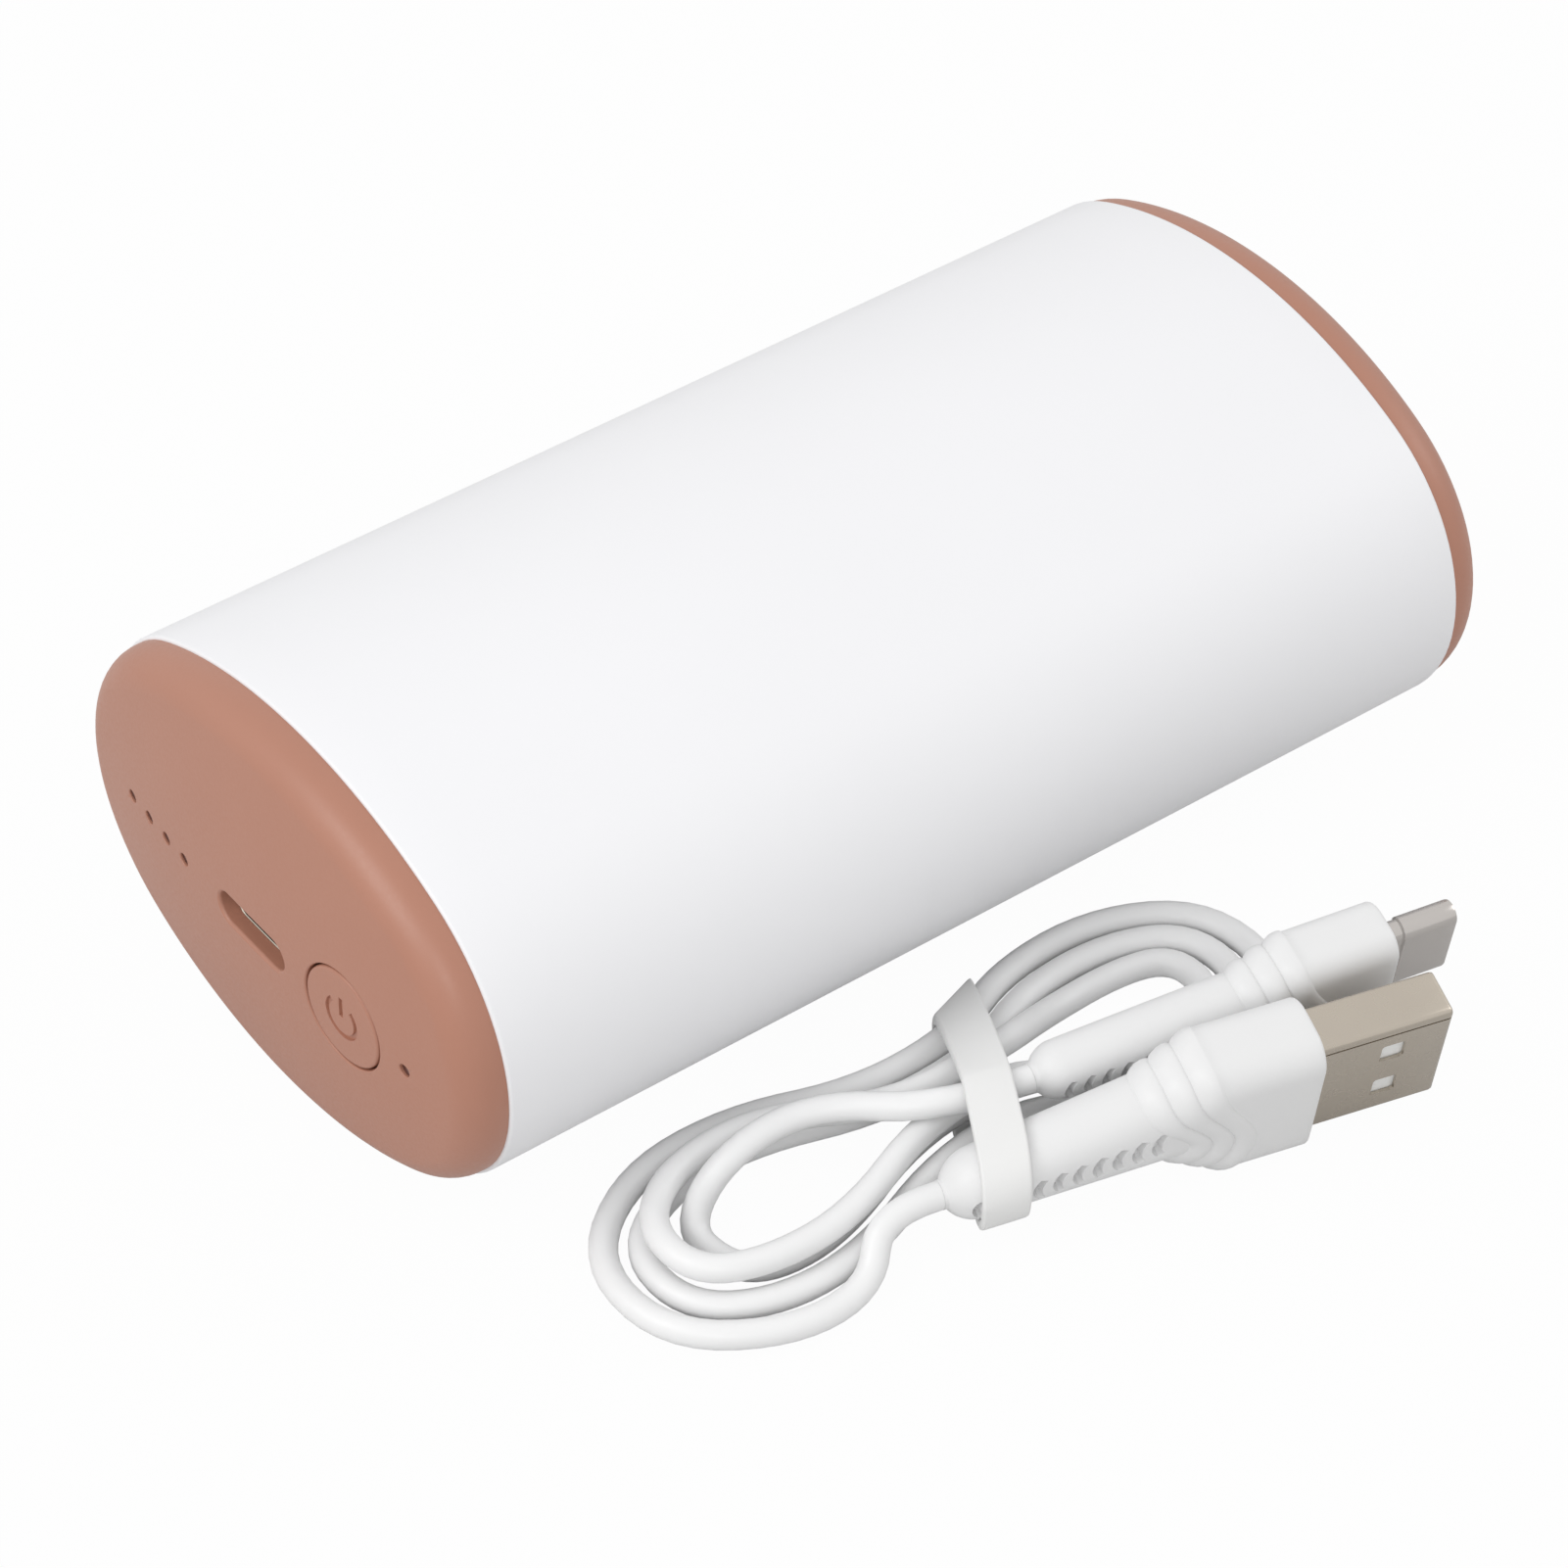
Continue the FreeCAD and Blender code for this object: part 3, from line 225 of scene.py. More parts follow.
def oval_ring(inset, x):
    """The tube's section at a place along it, drawn in all round by an inset."""
    return [Vector((x, y - ny * inset, axis_z + z - nz * inset)) for y, z, ny, nz in outline]


def ring_mesh(name, rings, ends):
    """Skins rings of equal count: ends is 'loop' to join last to first, or 'fill' to close each end."""
    mesh = bpy.data.meshes.new(name)
    work = bmesh.new()
    rows = [[work.verts.new(spot) for spot in ring] for ring in rings]
    pairs = list(zip(rows, rows[1:] + rows[:1])) if ends == "loop" else list(zip(rows, rows[1:]))
    for near, far in pairs:
        if len(near) == 1 or len(far) == 1:
            tip, edge = (near, far) if len(near) == 1 else (far, near)
            for i in range(len(edge)):
                work.faces.new((edge[i], edge[(i + 1) % len(edge)], tip[0]))
            continue
        for i in range(len(near)):
            j = (i + 1) % len(near)
            work.faces.new((near[i], near[j], far[j], far[i]))
    if ends == "fill":
        for row in (rows[0], rows[-1]):
            if len(row) > 1:
                work.faces.new(row)
    bmesh.ops.recalc_face_normals(work, faces=work.faces)
    work.to_mesh(mesh)
    work.free()
    mesh.shade_smooth()
    mesh.set_sharp_from_angle(angle=crease)
    return mesh


def place_piece(name, mesh, body, material, *stands_for):
    """Links a piece at the origin, with its material, its body and the nodes that it stands for."""
    piece = bpy.data.objects.new(name, mesh)
    bpy.context.scene.collection.objects.link(piece)
    piece.data.materials.append(material)
    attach(piece, body)
    if stands_for:
        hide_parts(*stands_for)
    return piece


rim_turns = [radians(18 * step) for step in range(6)]
rim_steps = [(tube_rim * (1 - cos(turn)), tube_half - tube_rim * (1 - sin(turn))) for turn in rim_turns]
straight, straight_steps = 2 * (tube_half - tube_rim), 24
tube_rings = [oval_ring(inset, -x) for inset, x in rim_steps[::-1]]
tube_rings += [oval_ring(0, straight * (step / straight_steps - 0.5)) for step in range(1, straight_steps)]
tube_rings += [oval_ring(inset, x) for inset, x in rim_steps]
tube_rings += [oval_ring(tube_wall, x) for x in (tube_half, 0, -tube_half)]
powder_coat, tree, shader = new_material("white_powder_coat", IOR=1.5)
mottle(tree, shader, "f0f0f2", "f3f3f5", 0.7 * mm, (0.42, 0.5), 0.006 * mm, 30 * mm)
tube_mesh = ring_mesh("tube_body", tube_rings, "loop")
tube_body = place_piece("tube_body", tube_mesh, "housing", powder_coat, "heat_tube")


# Rear cap: a pillow-shaped lid moulded in terracotta ABS, its skirt glued into the tube.
# Soft-touch ABS has a fine even spark grain, so highlights spread wide and soft.
dome_long, dome_short = 190 * mm, 80 * mm
lid_side, lid_edge, lid_wall = 3.5 * mm, 3.5 * mm, 2 * mm
lid_inset, lid_gap = 0.3 * mm, 0.02 * mm
skirt_inset, skirt_wall, skirt_depth = 1.3 * mm, 1.5 * mm, 6 * mm
dome_tip = tube_half + lid_side + dome_long - sqrt(dome_long ** 2 - (tube_wide - lid_inset) ** 2)


def dome_rise(y, z, depth):
    """How far the dome stands out from the middle of the barrel at a place across it."""
    reach = dome_long - dome_short + sqrt((dome_short - depth) ** 2 - z ** 2)
    return dome_tip - dome_long + sqrt(reach ** 2 - y ** 2)


def dome_normal(y, z):
    """The way the dome faces at a place across it."""
    step = 0.01 * mm
    slope_y = (dome_rise(y + step, z, 0) - dome_rise(y - step, z, 0)) / (2 * step)
    slope_z = (dome_rise(y, z + step, 0) - dome_rise(y, z - step, 0)) / (2 * step)
    return Vector((1, -slope_y, -slope_z)).normalized()


def dome_ring(edge, share, depth):
    """A ring on the dome: an edge ring drawn in to a share of its size."""
    ring = []
    for spot in edge:
        y, z = spot.y * share, (spot.z - axis_z) * share
        ring.append(Vector((dome_rise(y, z, depth), y, axis_z + z)))
    return ring


def cap_rings():
    """The cap as rings from the inside of its dome, round its skirt, to the middle of its outside."""
    inner_steps, edge_steps, dome_steps = 8, 12, 20
    skirt_end, seat = tube_half - skirt_depth, tube_half + lid_gap
    inner = oval_ring(skirt_inset + skirt_wall, skirt_end)
    rings = [[Vector((dome_rise(0, 0, lid_wall), 0, axis_z))]]
    rings += [dome_ring(inner, step / inner_steps, lid_wall) for step in range(1, inner_steps + 1)]
    rings += [inner, oval_ring(skirt_inset, skirt_end)]
    rings += [oval_ring(inset, seat) for inset in (skirt_inset, lid_inset)]
    walls, probe = [], 0.1 * mm
    for y, z, ny, nz in outline:
        y, z = y - ny * lid_inset, z - nz * lid_inset
        slope = (dome_rise(y - ny * probe, z - nz * probe, 0) - dome_rise(y, z, 0)) / probe
        lean = atan2(slope, 1)
        centre = dome_rise(y, z, 0) + lid_edge * tan(lean) - lid_edge / cos(lean)
        walls.append((y, z, ny, nz, lean, centre))
    for step in range(edge_steps + 1):
        ring = []
        for y, z, ny, nz, lean, centre in walls:
            turn = (pi / 2 - lean) * step / edge_steps
            inward = lid_edge * (1 - cos(turn))
            ring.append(Vector((centre + lid_edge * sin(turn), y - ny * inward, axis_z + z - nz * inward)))
        rings.append(ring)
    shoulder = rings[-1]
    rings += [dome_ring(shoulder, 1 - step / dome_steps, 0) for step in range(1, dome_steps)]
    rings.append([Vector((dome_tip, 0, axis_z))])
    return rings


terracotta, tree, shader = new_material("terracotta_abs", IOR=1.52)
mottle(tree, shader, "af7a65", "b37e69", 0.3 * mm, (0.36, 0.45), 0.008 * mm, 9 * mm)
rear_mesh = ring_mesh("rear_lid", cap_rings(), "fill")
rear_lid = place_piece("rear_lid", rear_mesh, "housing", terracotta, "rear_cap")


# Control cap: the same lid with the port slot, the button's ring and five light holes.
# Each opening has a softly rounded mouth, as moulded openings have.
bore_depth = 6 * mm
slot_wide, slot_high, slot_soft = 9.7 * mm, 3.1 * mm, 0.35 * mm
button_y, button_radius, button_gap, ring_soft = -12.875 * mm, 4.725 * mm, 0.2 * mm, 0.18 * mm
first_light, light_pitch, heat_light = 19.7 * mm, 3.05 * mm, -20.9 * mm
light_radius, light_soft = 0.6 * mm, 0.12 * mm
slot_steps, button_steps, light_steps = 16, 72, 24


def mouth_cutter(outline_at, soft):
    """A cutter that follows the dome with a rounded mouth: outline_at gives (y, z) for an offset outwards."""
    flare, lift = 1.25 * soft, 0.35 * soft
    rounding = [radians(turn) for turn in (20, 35, 50, 65, 80, 90)]
    steps = [(flare, -bore_depth), (flare, -lift)]
    steps += [(soft * (1 - sin(turn)), soft * (1 - cos(turn))) for turn in rounding]
    steps.append((0, bore_depth))
    rings = [[Vector((-dome_rise(y, z, 0) + down, y, axis_z + z)) for y, z in outline_at(offset)]
             for offset, down in steps]
    return ring_mesh("cutter", rings, "fill")


def round_outline(middle, radius, count):
    """The outline of a round opening, for an offset outwards."""
    def at(offset):
        size = radius + offset
        turns = [2 * pi * i / count for i in range(count)]
        return [(middle + size * cos(turn), size * sin(turn)) for turn in turns]
    return at


def slot_outline(width, height, count):
    """The outline of a slot with round ends, for an offset outwards."""
    def at(offset):
        radius, reach = height / 2 + offset, width / 2 - height / 2
        spots = []
        for side, start in ((1, -pi / 2), (-1, pi / 2)):
            turns = [start + pi * i / count for i in range(count + 1)]
            spots += [(side * reach + radius * cos(turn), radius * sin(turn)) for turn in turns]
        return spots
    return at


def carve(mesh, cutters):
    """Cuts closed meshes out of another and gives back the plain mesh."""
    body = bpy.data.objects.new("carved", mesh)
    bpy.context.scene.collection.objects.link(body)
    tools = []
    for cutter in cutters:
        tool = bpy.data.objects.new("tool", cutter)
        bpy.context.scene.collection.objects.link(tool)
        cut = body.modifiers.new("cut", "BOOLEAN")
        cut.operation, cut.solver, cut.object = "DIFFERENCE", "EXACT", tool
        tools.append(tool)
    carved = bpy.data.meshes.new_from_object(body.evaluated_get(bpy.context.evaluated_depsgraph_get()))
    for item in [body] + tools:
        bpy.data.objects.remove(item)
    carved.shade_smooth()
    carved.set_sharp_from_angle(angle=crease)
    return carved


def even_dome(mesh):
    """Gives the dome's faces the true dome's normals, so that cuts leave no streaks in the shading."""
    on_dome, facing = 0.002 * mm, 0.97
    normals = []
    for face in mesh.polygons:
        for index in face.vertices:
            spot = mesh.vertices[index].co
            y, z = spot.y, spot.z - axis_z
            normal = Vector((0, 0, 0))
            if abs(-spot.x - dome_rise(y, z, 0)) < on_dome:
                true = dome_normal(y, z)
                true.x = -true.x
                if face.normal.dot(true) > facing:
                    normal = true
            normals.append(normal)
    mesh.normals_split_custom_set(normals)


light_spots = [first_light - light_pitch * step for step in range(4)] + [heat_light]
control_rings = [[Vector((-spot.x, spot.y, spot.z)) for spot in ring] for ring in cap_rings()]
cutters = [mouth_cutter(slot_outline(slot_wide, slot_high, slot_steps), slot_soft),
           mouth_cutter(round_outline(button_y, button_radius + button_gap, button_steps), ring_soft)]
cutters += [mouth_cutter(round_outline(y, light_radius, light_steps), light_soft) for y in light_spots]
control_mesh = carve(ring_mesh("control_lid", control_rings, "fill"), cutters)
even_dome(control_mesh)
control_lid = place_piece("control_lid", control_mesh, "housing", terracotta, "front_cap")


# Power button: a disc of the same ABS that follows the dome, with the usual on-off sign cut into it.
# A flange behind the lid keeps it in, and a stem reaches the switch.
stem_radius, stem_end = 2 * mm, 50.28 * mm
flange_radius, flange_back, flange_front = 5.875 * mm, 51.79 * mm, 52.59 * mm
edge_soft, disc_soft, disc_steps = 0.2 * mm, 0.25 * mm, 12
sign_radius, sign_width, sign_depth = 1.85 * mm, 0.42 * mm, 0.25 * mm
bar_top, bar_step, bar_steps = 2.2 * mm, 0.25 * mm, 9


def button_ring(radius, x):
    """A ring of the button: x is a fixed place, or None to follow the dome."""
    return [Vector((-dome_rise(y, z, 0) if x is None else -x, y, axis_z + z))
            for y, z in round_outline(button_y, radius, button_steps)(0)]


disc_rings = [[Vector((-stem_end, button_y, axis_z))]]
disc_rings += [button_ring(radius, x) for radius, x in (
    (stem_radius - edge_soft, stem_end), (stem_radius, stem_end + edge_soft), (stem_radius, flange_back),
    (flange_radius - edge_soft, flange_back), (flange_radius, flange_back + edge_soft),
    (flange_radius, flange_front - edge_soft), (flange_radius - edge_soft, flange_front),
    (button_radius, flange_front))]
for turn in (0, 22, 45, 68, 90):
    inward, down = disc_soft * (1 - cos(radians(turn))), disc_soft * (1 - sin(radians(turn)))
    ring = button_ring(button_radius - inward, None)
    disc_rings.append([Vector((spot.x + down, spot.y, spot.z)) for spot in ring])
disc_rings += [button_ring((button_radius - disc_soft) * (1 - step / disc_steps), None)
               for step in range(1, disc_steps)]
disc_rings.append([Vector((-dome_rise(button_y, 0, 0), button_y, axis_z))])


def sign_cutter(path):
    """A groove that follows the dome along a line of (y, z), flat at its bottom and flared at its sides."""
    above, foot, mouth = 0.1 * mm, 0.5 * sign_width, 0.62 * sign_width
    rings = []
    for index, (y, z) in enumerate(path):
        before, after = path[max(index - 1, 0)], path[min(index + 1, len(path) - 1)]
        along = Vector((after[0] - before[0], after[1] - before[1])).normalized()
        ring = []
        for aside, down in ((-mouth, -above), (-foot, sign_depth), (foot, sign_depth), (mouth, -above)):
            spot_y, spot_z = y - along.y * aside, z + along.x * aside
            ring.append(Vector((-dome_rise(spot_y, spot_z, 0) + down, spot_y, axis_z + spot_z)))
        rings.append(ring)
    return ring_mesh("groove", rings, "fill")


bow_turns = [radians(turn) for turn in range(42, 320, 6)]
bow = [(button_y + sign_radius * sin(turn), sign_radius * cos(turn)) for turn in bow_turns]
bar = [(button_y, bar_top - bar_step * step) for step in range(bar_steps)]
button_mesh = carve(ring_mesh("button_disc", disc_rings, "fill"), [sign_cutter(bow), sign_cutter(bar)])
even_dome(button_mesh)
button_disc = place_piece("button_disc", button_mesh, "power_button", terracotta, "power_button")


# Light guides: clear acrylic pins behind the five holes, coloured a dark red-brown that is painted shade, the
# hue of the holes' shaded terracotta walls.
# Moulded acrylic is glossy, and the recess in the lid shades it as well.
shade_painted_acrylic, tree, shader = new_material("shade_painted_acrylic", IOR=1.49)
# The two dark red-brown tones paint in the shade of the recessed holes.
mottle(tree, shader, "54302a", "4a2924", 0.3 * mm, (0.12, 0.2), 0.001 * mm)
dress(shade_painted_acrylic, "battery_light_guide", "heat_light_guide")


# Charging port: a drawn steel shell, nickel plated, round a black tongue.
# Its sleeve reaches into the lid's slot, so a thin bright rim shows deep in the mouth.
plated_steel, tree, shader = new_material("nickel_plated_steel", Metallic=1.0)
mottle(tree, shader, "beb5a8", "b6ada1", 2 * mm, (0.24, 0.3), 0.0003 * mm)
dress(plated_steel, "usb_port_shell")
# Width, height and reach in mm, round the sleeve's lip from outside to inside.
sleeve_steps = ((8.94, 2.98, 53.64), (8.94, 2.98, 54.2), (8.8, 2.84, 54.27),
                (8.5, 2.66, 54.27), (8.36, 2.5, 54.2), (8.36, 2.5, 53.64))
sleeve_rings = []
for width, height, out in sleeve_steps:
    lip = slot_outline(width * mm, height * mm, slot_steps)(0)
    sleeve_rings.append([Vector((-out * mm, y, axis_z + z)) for y, z in lip])
sleeve_mesh = ring_mesh("port_sleeve", sleeve_rings, "loop")
port_sleeve = place_piece("port_sleeve", sleeve_mesh, "housing", plated_steel)


# Plug shells: the wide one is folded from plated steel like the port's, with a seam and two windows.
# The white insert shows through the windows. The small one is drawn from bare stainless steel, a cooler
# grey, and steps down to a collar at its grip. Both plugs lean on the edge of their grips.
plug_lean, corner_share, band_height = radians(12), 0.34, 0.35 * mm
wide_lengths, small_lengths = (10 * mm, 6 * mm, 16.4 * mm), (9 * mm, 5.6 * mm, 18.4 * mm)
# Width, thickness, lengths of block, neck and relief, relief's width, tail's width and the tail's drop.
wide_sizes = (14.8 * mm, 7.6 * mm, wide_lengths, 8.4 * mm, 5.6 * mm, 2.5 * mm)
small_sizes = (11 * mm, 6.2 * mm, small_lengths, 6.4 * mm, 4.8 * mm, 0)
wide_metal, small_metal = (6 * mm, 2.25 * mm, 0.54 * mm), (4.125 * mm, 1.2 * mm, 1.176 * mm)
least_corner, small_lift = 0.05 * mm, 2.9 * mm


def soft_box(half_wide, half_thick, corner, x):
    """A ring of a rounded rectangle: thickness along Y, width along Z, the same count on every ring."""
    spots = []
    for start, (side, level) in enumerate(((1, 1), (-1, 1), (-1, -1), (1, -1))):
        middle_y, middle_z = side * (half_thick - corner), level * (half_wide - corner)
        turns = [(start + step / 8) * pi / 2 for step in range(9)]
        spots += [(middle_y + corner * cos(turn), middle_z + corner * sin(turn)) for turn in turns]
        y, z = spots[-1]
        if start % 2:
            spots += [(y, z * (1 - step / 8)) for step in range(1, 16)]
        else:
            spots += [(y * (1 - step / 4), z) for step in range(1, 8)]
    return [Vector((x, y, z)) for y, z in spots]


def lean_height(sizes):
    """How high a leaning grip's axis stands above what its banded edge rests on."""
    half_wide, half_thick = sizes[0] / 2 + band_height, sizes[1] / 2 + band_height
    corner = corner_share * 2 * half_thick
    return (half_wide - corner) * cos(plug_lean) + (half_thick - corner) * sin(plug_lean) + corner


def plug_place(seat, length):
    """The matrix that leans a plug, turns it to its heading and lays its tail at its seat."""
    x, y, z, heading = seat
    front = Vector((x + length * cos(heading), y + length * sin(heading), z))
    return Matrix.Translation(front) @ Matrix.Rotation(heading, 4, "Z") @ Matrix.Rotation(plug_lean, 4, "X")


def shell_mesh(name, half_wide, half_thick, corner, profile):
    """A plug's shell from a profile of (x, inset) in mm, along the outside and back along the inside."""
    rings = []
    for x, inset in profile:
        inward = inset * mm
        inner_corner = max(corner - inward, least_corner)
        rings.append(soft_box(half_wide - inward, half_thick - inward, inner_corner, x * mm))
    return ring_mesh(name, rings, "loop")


def box_mesh(low, high, soft):
    """A closed box between two corners in mm, with its edges along Y rounded."""
    middle, half = (Vector(high) + Vector(low)) / 2 * mm, (Vector(high) - Vector(low)) / 2 * mm
    spots = []
    for start, (side, level) in enumerate(((1, 1), (-1, 1), (-1, -1), (1, -1))):
        middle_x, middle_z = middle.x + side * (half.x - soft), middle.z + level * (half.z - soft)
        turns = [(start + step / 4) * pi / 2 for step in range(5)]
        spots += [(middle_x + soft * cos(turn), middle_z + soft * sin(turn)) for turn in turns]
    sides = (middle.y - half.y, middle.y + half.y)
    return ring_mesh("box", [[Vector((x, y, z)) for x, z in spots] for y in sides], "fill")


wide_seat = (-20.2 * mm, -47.5 * mm, lean_height(wide_sizes), radians(-14))
small_seat = (-8 * mm, -43.5 * mm, small_lift + lean_height(small_sizes), radians(-10.5))
wide_place = plug_place(wide_seat, sum(wide_lengths))
small_place = plug_place(small_seat, sum(small_lengths))
wide_profile = ((-3, 0), (0, 0), (4, 0), (8, 0), (11.9, 0), (12.15, 0.08), (12.2, 0.15),
                (12.15, 0.24), (11.9, 0.3), (6, 0.3), (0, 0.3), (-3, 0.3))
windows = [((6, -4, level - 1.1), (8.2, 4, level + 1.1)) for level in (-2.5, 2.5)]
seam = ((-4, -3, 4.95), (13, -2.13, 5.13))
window_soft, seam_soft = 0.3 * mm, 0.02 * mm
wide_cuts = [box_mesh(*window, window_soft) for window in windows] + [box_mesh(*seam, seam_soft)]
wide_mesh = carve(shell_mesh("wide_shell", *wide_metal, wide_profile), wide_cuts)
wide_mesh.transform(wide_place)
wide_shell = place_piece("wide_shell", wide_mesh, "housing", plated_steel, "usb_a_shell")

small_profile = ((-3, 0.18), (0, 0.18), (1.45, 0.18), (1.6, 0), (3.5, 0), (5.5, 0), (6.45, 0),
                 (6.65, 0.06), (6.7, 0.15), (6.65, 0.24), (6.45, 0.3), (3, 0.3), (-3, 0.3))
small_mesh = shell_mesh("small_shell", *small_metal, small_profile)
small_mesh.transform(small_place)
drawn_steel, tree, shader = new_material("drawn_stainless_steel", Metallic=1.0)
mottle(tree, shader, "c4bfbb", "bcb7b3", 2 * mm, (0.2, 0.26), 0.0003 * mm)
small_shell = place_piece("small_shell", small_mesh, "housing", drawn_steel, "usb_c_shell")


# Plug insert: natural nylon in the wide shell, with four gold-flashed springs let into its face.
# The gold stands a little proud, so the four strips show as bright lines in the dark mouth.
def row_tree(material):
    """Geometry Nodes: repeats a shape along a line, its size changing evenly from the first to the last."""
    tree = bpy.data.node_groups.new("row", "GeometryNodeTree")
    face = tree.interface
    sockets = {}
    for name, kind in (("Shape", "Geometry"), ("Count", "Int"), ("Step", "Vector"), ("Last Size", "Vector")):
        socket = face.new_socket(name, in_out="INPUT", socket_type="NodeSocket" + kind)
        sockets[name] = socket.identifier
    face.new_socket("Row", in_out="OUTPUT", socket_type="NodeSocketGeometry")
    given = add_node(tree, "NodeGroupInput").outputs
    spacing = {"Count": given["Count"], "Offset": given["Step"]}
    line = add_node(tree, "GeometryNodeMeshLine", spacing, mode="OFFSET")
    last = add_node(tree, "ShaderNodeMath", {0: given["Count"], 1: 1.0}, operation="SUBTRACT")
    index = add_node(tree, "GeometryNodeInputIndex")
    share = add_node(tree, "ShaderNodeMath", {0: index.outputs[0], 1: last.outputs[0]}, operation="DIVIDE")
    sizes = {0: share.outputs[0], 4: (1, 1, 1), 5: given["Last Size"]}
    size = add_node(tree, "ShaderNodeMix", sizes, data_type="VECTOR")
    copies = {"Points": line.outputs[0], "Instance": given["Shape"], "Scale": size.outputs[1]}
    row = add_node(tree, "GeometryNodeInstanceOnPoints", copies)
    real = add_node(tree, "GeometryNodeRealizeInstances", {"Geometry": row.outputs[0]})
    painted = add_node(tree, "GeometryNodeSetMaterial", {"Geometry": real.outputs[0], "Material": material})
    add_node(tree, "NodeGroupOutput", {"Row": painted.outputs[0]})
    return tree, sockets


def row_mesh(shape, material, count, step, last_size):
    """A row of one shape as a plain mesh."""
    row = bpy.data.objects.new("row", shape)
    bpy.context.scene.collection.objects.link(row)
    repeat = row.modifiers.new("repeat", "NODES")
    repeat.node_group, sockets = row_tree(material)
    for name, value in (("Count", count), ("Step", step), ("Last Size", last_size)):
        repeat[sockets[name]] = value
    plain = bpy.data.meshes.new_from_object(row.evaluated_get(bpy.context.evaluated_depsgraph_get()))
    row.modifiers.remove(repeat)
    bpy.data.objects.remove(row)
    return plain


insert_nylon, tree, shader = new_material("insert_nylon", IOR=1.53)
mottle(tree, shader, "f2f2f0", "ececea", 0.3 * mm, (0.35, 0.45), 0.002 * mm)
dress(insert_nylon, "usb_a_tongue")
gold_flash, tree, shader = new_material("gold_flash", Metallic=1.0)
mottle(tree, shader, "d9b765", "cfac5b", 1 * mm, (0.2, 0.28), 0.0003 * mm)
strip_low, strip_high, strip_soft = (2.5, -0.2, -4), (10.4, 0.08, -3), 0.3 * mm
strip_count, strip_pitch = 4, 2.333 * mm
strip = box_mesh(strip_low, strip_high, strip_soft)
strips = row_mesh(strip, gold_flash, strip_count, (0, 0, strip_pitch), (1, 1, 1))
strips.transform(wide_place)
place_piece("insert_contacts", strips, "housing", gold_flash)


# Grips: white PVC moulded over each shell and its cord end, with three wavy bands and a row of crescent cuts.
# The bands sit back on the narrow sides and swing forwards on the broad ones, and the tail is bullet shaped.
cord_radius, front_soft, band_count = 1.25 * mm, 0.4 * mm, 3
bullet_share, swing_middle, swing_spread = 0.55, -0.3, 0.8
bow_radius, bow_width, bow_flare = 1.5 * mm, 0.75 * mm, 1.45
bow_depth, bow_overrun = 0.9 * mm, 0.8 * mm
row_share, first_share, last_length, last_width = 0.86, 0.6, 0.8, 0.72


def clamp(share):
    """A share held between nothing and the whole."""
    return min(max(share, 0), 1)


def grip_rings(width, thickness, lengths, relief_width, tail_width, drop, swing):
    """Rings from the front of a grip to its tail: block, banded neck, tapered relief and bullet end."""
    block, neck, relief = lengths
    back = block + neck
    end = back + relief
    relief_thickness = (thickness + tail_width) / 2
    bullet = bullet_share * tail_width
    stations = [front_soft * (1 - cos(radians(turn))) for turn in (0, 30, 60, 90)]
    stations += [front_soft + (block - front_soft) * step / 10 for step in range(1, 10)]
    stations += [block + neck * step / 48 for step in range(48)]
    stations += [back + (relief - bullet) * step / 20 for step in range(20)]
    stations += [end - bullet * (1 - sin(radians(turn))) for turn in range(0, 85, 7)]
    rings = []
    for s in stations:
        share, taper = clamp((s - block) / neck), clamp((s - back) / relief)
        wide = width + (relief_width - width) * share + (tail_width - relief_width) * taper
        thick = thickness + (relief_thickness - thickness) * share + (tail_width - relief_thickness) * taper
        band = 0
        if 0 < share < 1:
            band = band_height * abs(sin(band_count * pi * share)) ** 0.6
        front = front_soft - sqrt(max(front_soft ** 2 - max(front_soft - s, 0) ** 2, 0))
        closing = sqrt(max(1 - max((s - end + bullet) / bullet, 0) ** 2, 0))
        half_wide = max((wide / 2 + band - front) * closing, cord_radius)
        half_thick = max((thick / 2 + band - front) * closing, cord_radius)
        corner = min((corner_share + 0.12 * share) * 2 * half_thick, 0.98 * half_thick)
        lead = swing * clamp(s / block) * clamp((back + relief / 2 - s) / (relief / 2))
        ring = soft_box(half_wide, half_thick, corner, 0)
        for spot in ring:
            across = spot.z / half_wide
            spot.x = -s + lead * exp(-((across - swing_middle) / swing_spread) ** 2)
            spot.z -= drop * taper
        rings.append(ring)
    return rings


def crescent(half_thick):
    """Two facing crescent cutters, one for each broad side, at the first place of the row."""
    mesh = bpy.data.meshes.new("crescent")
    work = bmesh.new()
    outer = [radians(turn) for turn in range(-60, 61, 12)]
    inner = [radians(turn) for turn in range(48, -49, -12)]
    for side in (-1, 1):
        rows = []
        for y, flare in ((half_thick - bow_depth, 1), (half_thick + bow_overrun, bow_flare)):
            turns = [(0, turn) for turn in outer] + [(bow_width * flare, turn) for turn in inner]
            tall = bow_radius * flare
            spots = [(shift - bow_radius * cos(turn), tall * sin(turn)) for shift, turn in turns]
            rows.append([work.verts.new((x, side * y, z)) for x, z in spots])
        for i in range(len(rows[0])):
            j = (i + 1) % len(rows[0])
            work.faces.new((rows[0][i], rows[0][j], rows[1][j], rows[1][i]))
        for row in rows:
            work.faces.new(row)
    bmesh.ops.recalc_face_normals(work, faces=work.faces)
    work.to_mesh(mesh)
    work.free()
    return mesh


plug_pvc, tree, shader = new_material("moulded_white_pvc", IOR=1.53)
mottle(tree, shader, "eaeaea", "e7e7e7", 0.4 * mm, (0.4, 0.5), 0.004 * mm)


